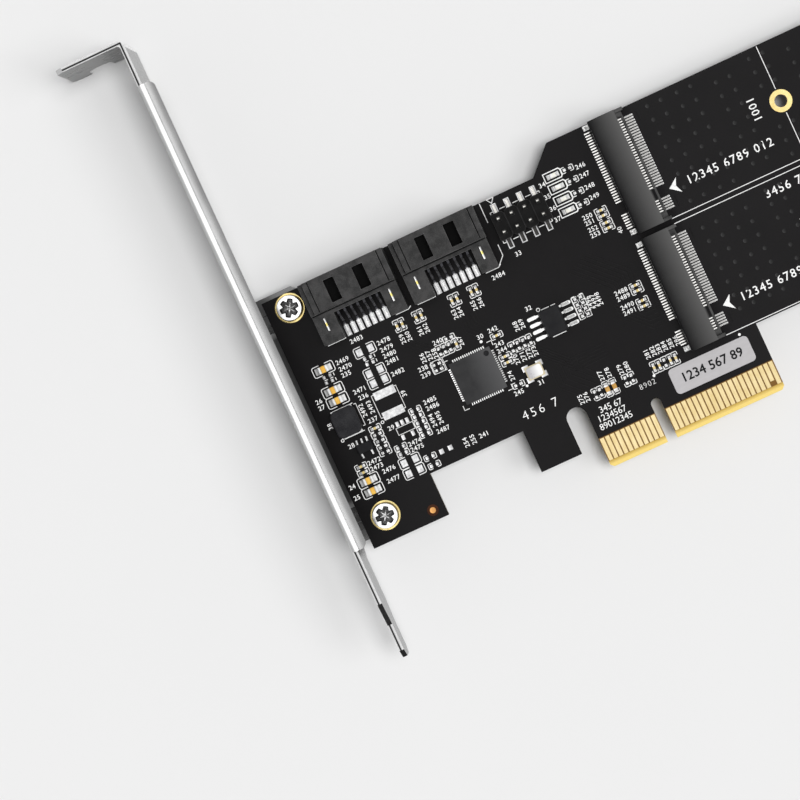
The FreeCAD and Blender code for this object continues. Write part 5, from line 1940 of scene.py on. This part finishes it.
@dataclass
class PinHeader:
    """The pin header: its grooved base and its posts."""

    base_edge: float = 0.14
    post_edge: float = 0.09
    groove: Point = (0.22, 0.3)
    groove_over: float = 1.0
    edge_slack: float = 0.05
    top_way: float = 0.95

    def build(self) -> None:
        """Dress the header."""
        span = solids("header_base")[0]
        body = Bench.soften("header_body", "header_base", self.base_edge)
        self.cut_grooves(body, span)
        Bench.dress(body, HEADER_PLASTIC, "header_plastic")
        low = span.high.z - self.groove[1] - self.edge_slack
        high = span.high.z - NEAR
        # Painted highlight on the edges and grooves at the top of the base
        Bench.repaint(body, HEADER_HIGHLIGHT, lambda spot, way: low < spot.z < high)
        posts = Bench.soften("header_pins", "header_posts", self.post_edge)
        # The posts carry a painted shadow on the lower row's feet
        Bench.dress(posts, POST, "post_metal")
        # Painted shade on the sides of the posts above the base
        Bench.repaint(posts, POST_SHADE_SIDE, lambda spot, way: spot.z > span.high.z and way.z < self.top_way)

    def cut_grooves(self, body: Piece, span: Span) -> None:
        """Cut the grooves that part the pairs of posts.

        Args:
            body: The header's base.
            span: The box round it.
        """
        wide, deep = self.groove
        low = (-wide / 2, span.low.y - self.groove_over, span.high.z - deep)
        high = (wide / 2, span.high.y + self.groove_over, span.high.z + self.groove_over)
        first = span.middle.x - (LAYOUT.header_gaps - 1) / 2 * LAYOUT.header_pitch
        spots = [place((first + gap * LAYOUT.header_pitch, 0, 0)) for gap in range(LAYOUT.header_gaps)]
        cutter = Bench.stamp("groove_cutter", Bench.block("groove", low, high), spots)
        Bench.cut(body, cutter)
        Bench.smooth(body)


@dataclass
class Chips:
    """The controller, the memory chip and the regulator with their leads and pads."""

    body_edge: float = 0.05
    lead_edge: float = 0.05
    pads_per_side: int = 16
    pad_pitch: float = 0.4
    pad_width: float = 0.22
    pad_reach: float = 0.45
    pad_cover: float = 0.4
    memory_pad: Triple = (1.9, 0.68, 0.08)
    memory_pad_corner: float = 0.45
    memory_pad_edge: float = 0.03
    memory_pad_reach: float = 0.35
    dimple: Point = (-23.9, 28.1)
    dimple_radius: float = 0.5
    dimple_floor: float = 0.8
    dimple_depth: float = 0.1
    dimple_over: float = 0.2
    dimple_slack: float = 0.05
    dimple_sides: int = 24

    def build(self) -> None:
        """Dress the chips and model their pads."""
        for node in ("controller_chip", "memory_chip", "regulator_chip"):
            body = Bench.soften(f"{node}_body", node, self.body_edge)
            if node == "controller_chip":
                self.mark_controller(body)
            else:
                Bench.dress(body, CHIP_PLASTIC, "chip_plastic")
        for node in ("memory_leads", "regulator_leads"):
            Bench.dress(Bench.soften(f"{node}_row", node, self.lead_edge), TIN, "tinned_metal")
        self.controller_pads()
        self.memory_pads()

    def memory_pads(self) -> None:
        """Model the round-ended pads under the memory chip's leads."""
        middle = solids("memory_chip")[0].middle.x
        long, wide, high = self.memory_pad
        low_corner, high_corner = (-long / 2, -wide / 2, 0), (long / 2, wide / 2, high)
        pad = Bench.slab("memory_pad", low_corner, high_corner, wide * self.memory_pad_corner, steps=4)
        Bench.round_edges(pad, self.memory_pad_edge, steps=1)
        spots = []
        for span in solids("memory_leads"):
            tip = span.low.x if span.middle.x < middle else span.high.x
            inward = 1 if span.middle.x < middle else -1
            along = tip + inward * (long / 2 - self.memory_pad_reach)
            spots.append(place((along, span.middle.y, BOARD_TOP)))
        Bench.dress(Bench.stamp("memory_pads", pad, spots), BAND, "tinned_metal")

    def mark_controller(self, body: Piece) -> None:
        """Sink the round dimple that marks the controller's first pad, and dress the controller.

        Args:
            body: The controller's body.
        """
        top = solids("controller_chip")[0].high.z
        rises = ((self.dimple_depth, 1 / self.dimple_floor), (self.dimple_over, 1.0))
        cutter = Bench.heap("dimple_cutter", self.dimple_radius * self.dimple_floor,
                            top - self.dimple_depth, self.dimple_sides, rises, outward=True)
        cutter.data.transform(place((*self.dimple, 0)))
        Bench.cut(body, cutter)
        Bench.smooth(body)

        def in_dimple(spot: Vector, way: Vector) -> bool:
            """Tell whether a face is in the dimple."""
            away = (spot.xy - Vector(self.dimple)).length
            return away < self.dimple_radius and (way.z < UPWARDS or spot.z < top - self.dimple_slack)

        # The controller's plastic carries a painted reflection towards +X
        Bench.dress(body, CONTROLLER_PLASTIC, "chip_plastic")
        Bench.repaint(body, FILM_BLACK, in_dimple)

    def controller_pads(self) -> None:
        """Model the comb of tinned pads round the controller."""
        span = solids("controller_chip")[0]
        half = span.size.x / 2
        first = -(self.pads_per_side - 1) / 2 * self.pad_pitch
        scale = (self.pad_reach + self.pad_cover, self.pad_width, 1.0)
        spots = []
        for facing in Facing:
            for step in range(self.pads_per_side):
                along = first + step * self.pad_pitch
                out = half + (self.pad_reach - self.pad_cover) / 2
                spot = span.middle + facing.turn @ Vector((out, along, 0))
                spots.append(place((spot.x, spot.y, BOARD_TOP), facing, scale))
        Bench.dress(Bench.stamp("controller_pad_comb", Solder.pad(), spots), TIN, "tinned_metal")


@dataclass(frozen=True)
class ChipKind:
    """The sizes of one kind of small chip part."""

    node: str
    finish: Finish
    slot: str
    mound: Triple
    ends: str = ""
    band: float = 0.0


@dataclass(frozen=True)
class PlainPart:
    """A small part that is only softened and dressed."""

    node: str
    finish: Finish
    slot: str
    edge: float


@dataclass
class SmallParts:
    """The small parts: capacitors, resistors, lights, crystal, inductor, pads and solder."""

    edge: float = 0.06
    kinds: tuple[ChipKind, ...] = (
        ChipKind("large_capacitors", CAP_CERAMIC, "capacitor_ceramic", (0.6, 1.25, 0.75),
                 ends="large_capacitor_ends"),
        ChipKind("middle_capacitors", BROWN_CERAMIC, "capacitor_ceramic", (0.4, 0.8, 0.5),
                 ends="middle_capacitor_ends"),
        ChipKind("small_capacitors", PALE_CERAMIC, "capacitor_ceramic", (0.32, 0.55, 0.34), band=0.27),
        ChipKind("resistors", FILM_BLACK, "resistor_film", (0.32, 0.55, 0.26), band=0.25))
    plain: tuple[PlainPart, ...] = (
        PlainPart("inductor_body", FERRITE, "inductor_ferrite", 0.25),
        PlainPart("inductor_terminals", TIN, "tinned_metal", 0.05),
        PlainPart("crystal_base", CRYSTAL_CERAMIC, "crystal_ceramic", 0.06),
        # The crystal's lid carries a painted highlight
        PlainPart("crystal_lid", CRYSTAL_METAL, "crystal_lid", 0.06),
        PlainPart("light_bases", LIGHT_BASE, "light_base", 0.05),
        PlainPart("light_lenses", LIGHT_LENS, "light_lens", 0.1),
        PlainPart("light_terminals", TIN, "tinned_metal", 0.05),
        PlainPart("part_pads", PAD_TIN, "tinned_metal", 0.02),
        PlainPart("empty_pads", PAD_TIN, "tinned_metal", 0.02))
    # The chip's body within its end bands, at the side and the top, and the edges of body and bands
    chip_inset: Point = (0.02, 0.03)
    chip_edges: Point = (0.03, 0.06)
    # How far solder reaches into the ends of small chips, and into separate end bands
    mound_overlaps: Point = (0.02, 0.03)
    light_mound: Triple = (0.35, 0.9, 0.4)
    paired_vacant: Run = ((-51.75, 36.25), (-51.75, 35.2), (-43.65, 36.25), (-43.65, 35.2))
    small_pad: Point = (0.55, 0.6)
    small_pad_apart: float = 1.2
    crystal_pad: Point = (1.2, 1.0)
    crystal_pad_reach: float = 0.35

    def build(self) -> None:
        """Dress and model the small parts."""
        mounds: list[Matrix] = []
        for kind in self.kinds:
            mounds.extend(self.chips(kind))
        for part in self.plain:
            Bench.dress(Bench.soften(f"{part.node}_piece", part.node, part.edge), part.finish, part.slot)
        mounds.extend(self.end_mounds(solids("light_terminals"), solids("light_lenses"), self.light_mound))
        Bench.dress(Bench.stamp("solder_fillets", Solder.mound(), mounds), SOLDER, "tinned_metal")
        self.vacant_pads()
        self.crystal_pads()

    def chips(self, kind: ChipKind) -> list[Matrix]:
        """Model all chips of one kind.

        Args:
            kind: The kind's sizes.

        Returns:
            Where the solder of their ends goes.
        """
        if kind.ends:
            body = Bench.soften(f"{kind.node}_body", kind.node, self.edge)
            Bench.dress(body, kind.finish, kind.slot)
            ends = Bench.soften(f"{kind.ends}_band", kind.ends, self.edge, steps=3)
            Bench.dress(ends, BAND, "tinned_metal")
            return self.end_mounds(solids(kind.ends), solids(kind.node), kind.mound)
        spans = solids(kind.node)
        size = spans[0].size
        length, width, height = max(size.x, size.y), min(size.x, size.y), size.z
        inner = length / 2 - kind.band
        side, top = width / 2 - self.chip_inset[0], height - self.chip_inset[1]
        body = Bench.block("body", (-inner, -side, 0), (inner, side, top))
        Bench.round_edges(body, self.chip_edges[0], steps=1)
        end = Bench.block("end", (inner, -width / 2, 0), (length / 2, width / 2, height))
        Bench.round_edges(end, self.chip_edges[1], steps=2)
        other = Bench.copied("end", end.data, Facing.LEFT.turn)
        ends = Bench.join("ends", [end, other])
        spots = []
        mounds = []
        for span in spans:
            facing = Facing.UP if span.upright else Facing.RIGHT
            spots.append(place((span.middle.x, span.middle.y, span.low.z), facing))
            for way in (facing, Facing((facing.value + 180) % 360)):
                spot = span.middle + way.way * (length / 2 - self.mound_overlaps[0])
                mounds.append(place((spot.x, spot.y, BOARD_TOP), way, kind.mound))
        bodies = Bench.stamp(f"{kind.node}_body", body, spots)
        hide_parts(kind.node)
        Bench.dress(bodies, kind.finish, kind.slot)
        Bench.dress(Bench.stamp(f"{kind.node}_bands", ends, spots), TIN, "tinned_metal")
        return mounds

    def end_mounds(self, ends: list[Span], bodies: list[Span], size: Triple) -> list[Matrix]:
        """Work out where the solder of separate end bands goes.

        Args:
            ends: The boxes of the bands.
            bodies: The boxes of the chips.
            size: The mound's size.

        Returns:
            The places.
        """
        places = []
        for end in ends:
            body = min(bodies, key=lambda b: (b.middle - end.middle).length)
            away = end.middle - body.middle
            if abs(away.x) > abs(away.y):
                facing = Facing.RIGHT if away.x > 0 else Facing.LEFT
            else:
                facing = Facing.UP if away.y > 0 else Facing.DOWN
            reach = abs(facing.way.dot(end.size)) / 2 - self.mound_overlaps[1]
            spot = end.middle + facing.way * reach
            places.append(place((spot.x, spot.y, BOARD_TOP), facing, size))
        return places

    def vacant_pads(self) -> None:
        """Model the tinned pads of the small places left without a part."""
        scale = (*self.small_pad, 1.0)
        half = self.small_pad_apart / 2
        spots = [place((x + side * half, y, BOARD_TOP), Facing.RIGHT, scale)
                 for x, y in self.paired_vacant + LAYOUT.vacant for side in (-1, 1)]
        Bench.dress(Bench.stamp("vacant_small_pads", Solder.pad(), spots), PAD_TIN, "tinned_metal")

    def crystal_pads(self) -> None:
        """Model the four tinned pads at the crystal's corners."""
        span = solids("crystal_base")[0]
        long, wide = self.crystal_pad
        half_x = span.size.x / 2 + self.crystal_pad_reach - long / 2
        half_y = span.size.y / 2 + self.crystal_pad_reach - wide / 2
        spots = [place((span.middle.x + a * half_x, span.middle.y + b * half_y, BOARD_TOP), Facing.RIGHT,
                       (long, wide, 1.0)) for a in (-1, 1) for b in (-1, 1)]
        Bench.dress(Bench.stamp("crystal_pads", Solder.pad(), spots), PAD_TIN, "tinned_metal")


@dataclass(frozen=True)
class Lamp:
    """A wide soft light from far above, with angles in degrees. Metal doesn't mirror it."""

    name: str
    strength: float
    spread: float
    tilt: float
    turn: float

    def hang(self) -> None:
        """Add the light to the scene."""
        data = bpy.data.lights.new(self.name, "SUN")
        data.energy = self.strength
        data.angle = math.radians(self.spread)
        light = bpy.data.objects.new(self.name, data)
        light.rotation_euler = (0.0, math.radians(self.tilt), math.radians(self.turn))
        light.visible_glossy = False
        bpy.context.scene.collection.objects.link(light)


@dataclass
class Studio:
    """The floor, the light and the camera."""

    camera_spot: Triple = (-4.0, 33.0, 550.785)
    aim: Triple = (-41.549, 26.921, 0.785)
    up_turn: float = 24.79
    lens: float = 137.786
    sensor: float = 36.0
    floor_size: float = 6.0
    sky: float = 0.24
    backdrop: float = 0.86
    strips: Steps = (
        (-180, 1.0), (-95, 1.6), (-70, 2.6), (-24, 2.6), (-18.5, 2.2), (-15, 0.1), (-12.5, 0.2), (-9, 1.5),
        (0, 1.55), (5, 1.12), (15, 0.66), (27, 0.52), (55, 0.6), (80, 1.2), (95, 1.4), (180, 1.0))
    lamps: tuple[Lamp, ...] = (
        Lamp("key", 2.08, spread=20.0, tilt=10.5, turn=-10.0),
        Lamp("side", 0.74, spread=26.0, tilt=35.0, turn=-24.0))

    def build(self) -> None:
        """Set up the studio."""
        bpy.context.scene.view_settings.view_transform = "Standard"
        self.floor()
        self.world()
        for lamp in self.lamps:
            lamp.hang()
        self.camera()

    def floor(self) -> None:
        """Lay the pale floor under the card's lowest point."""
        Bench.clear()
        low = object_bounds()[0].z
        bpy.ops.mesh.primitive_plane_add(size=self.floor_size, location=(0, 0, low))
        floor = Bench.added("studio_floor")
        floor.data.materials.append(FLOOR.material())
        floor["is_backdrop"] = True

    def world(self) -> None:
        """Light the room evenly, and let what shines mirror strips that run along the card's Y."""
        world = bpy.data.worlds.new("studio_sky")
        bpy.context.scene.world = world
        world.use_nodes = True
        graph = Graph(world.node_tree)
        x, _, z = graph.axes(graph.node("ShaderNodeTexCoord", {}, {}, "Generated"))
        turn = x.turned_from(z) * (0.5 / math.pi) + 0.5
        stops = [(0.5 + angle / 360, tone) for angle, tone in self.strips]
        strips = graph.node("ShaderNodeValToRGB", {"stops": stops}, {0: turn})
        lit = graph.node("ShaderNodeLightPath", {}, {}, "Is Diffuse Ray")
        bounced = graph.node("ShaderNodeLightPath", {}, {}, "Diffuse Depth")
        mirrored = graph.node("ShaderNodeLightPath", {}, {}, "Is Glossy Ray") * bounced.fade(1.0, 0.0)
        sky = graph.mix(lit + bounced.fade(0.0, 1.0), grey(self.backdrop), grey(self.sky))
        sky = graph.mix(mirrored, sky, strips)
        graph.plug(world.node_tree.nodes["Background"].inputs["Color"], sky)

    def camera(self) -> None:
        """Set the camera at the photograph's viewing angle."""
        data = bpy.data.cameras.new("camera")
        data.lens = self.lens
        data.sensor_width = self.sensor
        camera = bpy.data.objects.new("camera", data)
        turn = math.radians(self.up_turn)
        back = (Vector(self.camera_spot) - Vector(self.aim)).normalized()
        up = Vector((math.sin(turn), math.cos(turn), 0.0))
        right = up.cross(back).normalized()
        up = back.cross(right)
        axes = Matrix((right, up, back)).transposed()
        camera.matrix_world = Matrix.Translation(Vector(self.camera_spot) * MM) @ axes.to_4x4()
        bpy.context.scene.collection.objects.link(camera)
        bpy.context.scene.camera = camera


def main() -> None:
    """Build every sub-assembly, set up the studio and log the pieces' face counts."""
    logging.basicConfig(level=logging.INFO, format="%(name)s %(message)s")
    Bench.clear()
    for assembly in (Board(), BoardPrint(), Bracket(), DrivePorts(), DriveSockets(), PinHeader(), Chips(),
                     SmallParts()):
        LOG.info("building %s", type(assembly).__name__)
        assembly.build()
    Studio().build()
    Bench.clear()


if __name__ == "__main__":
    main()
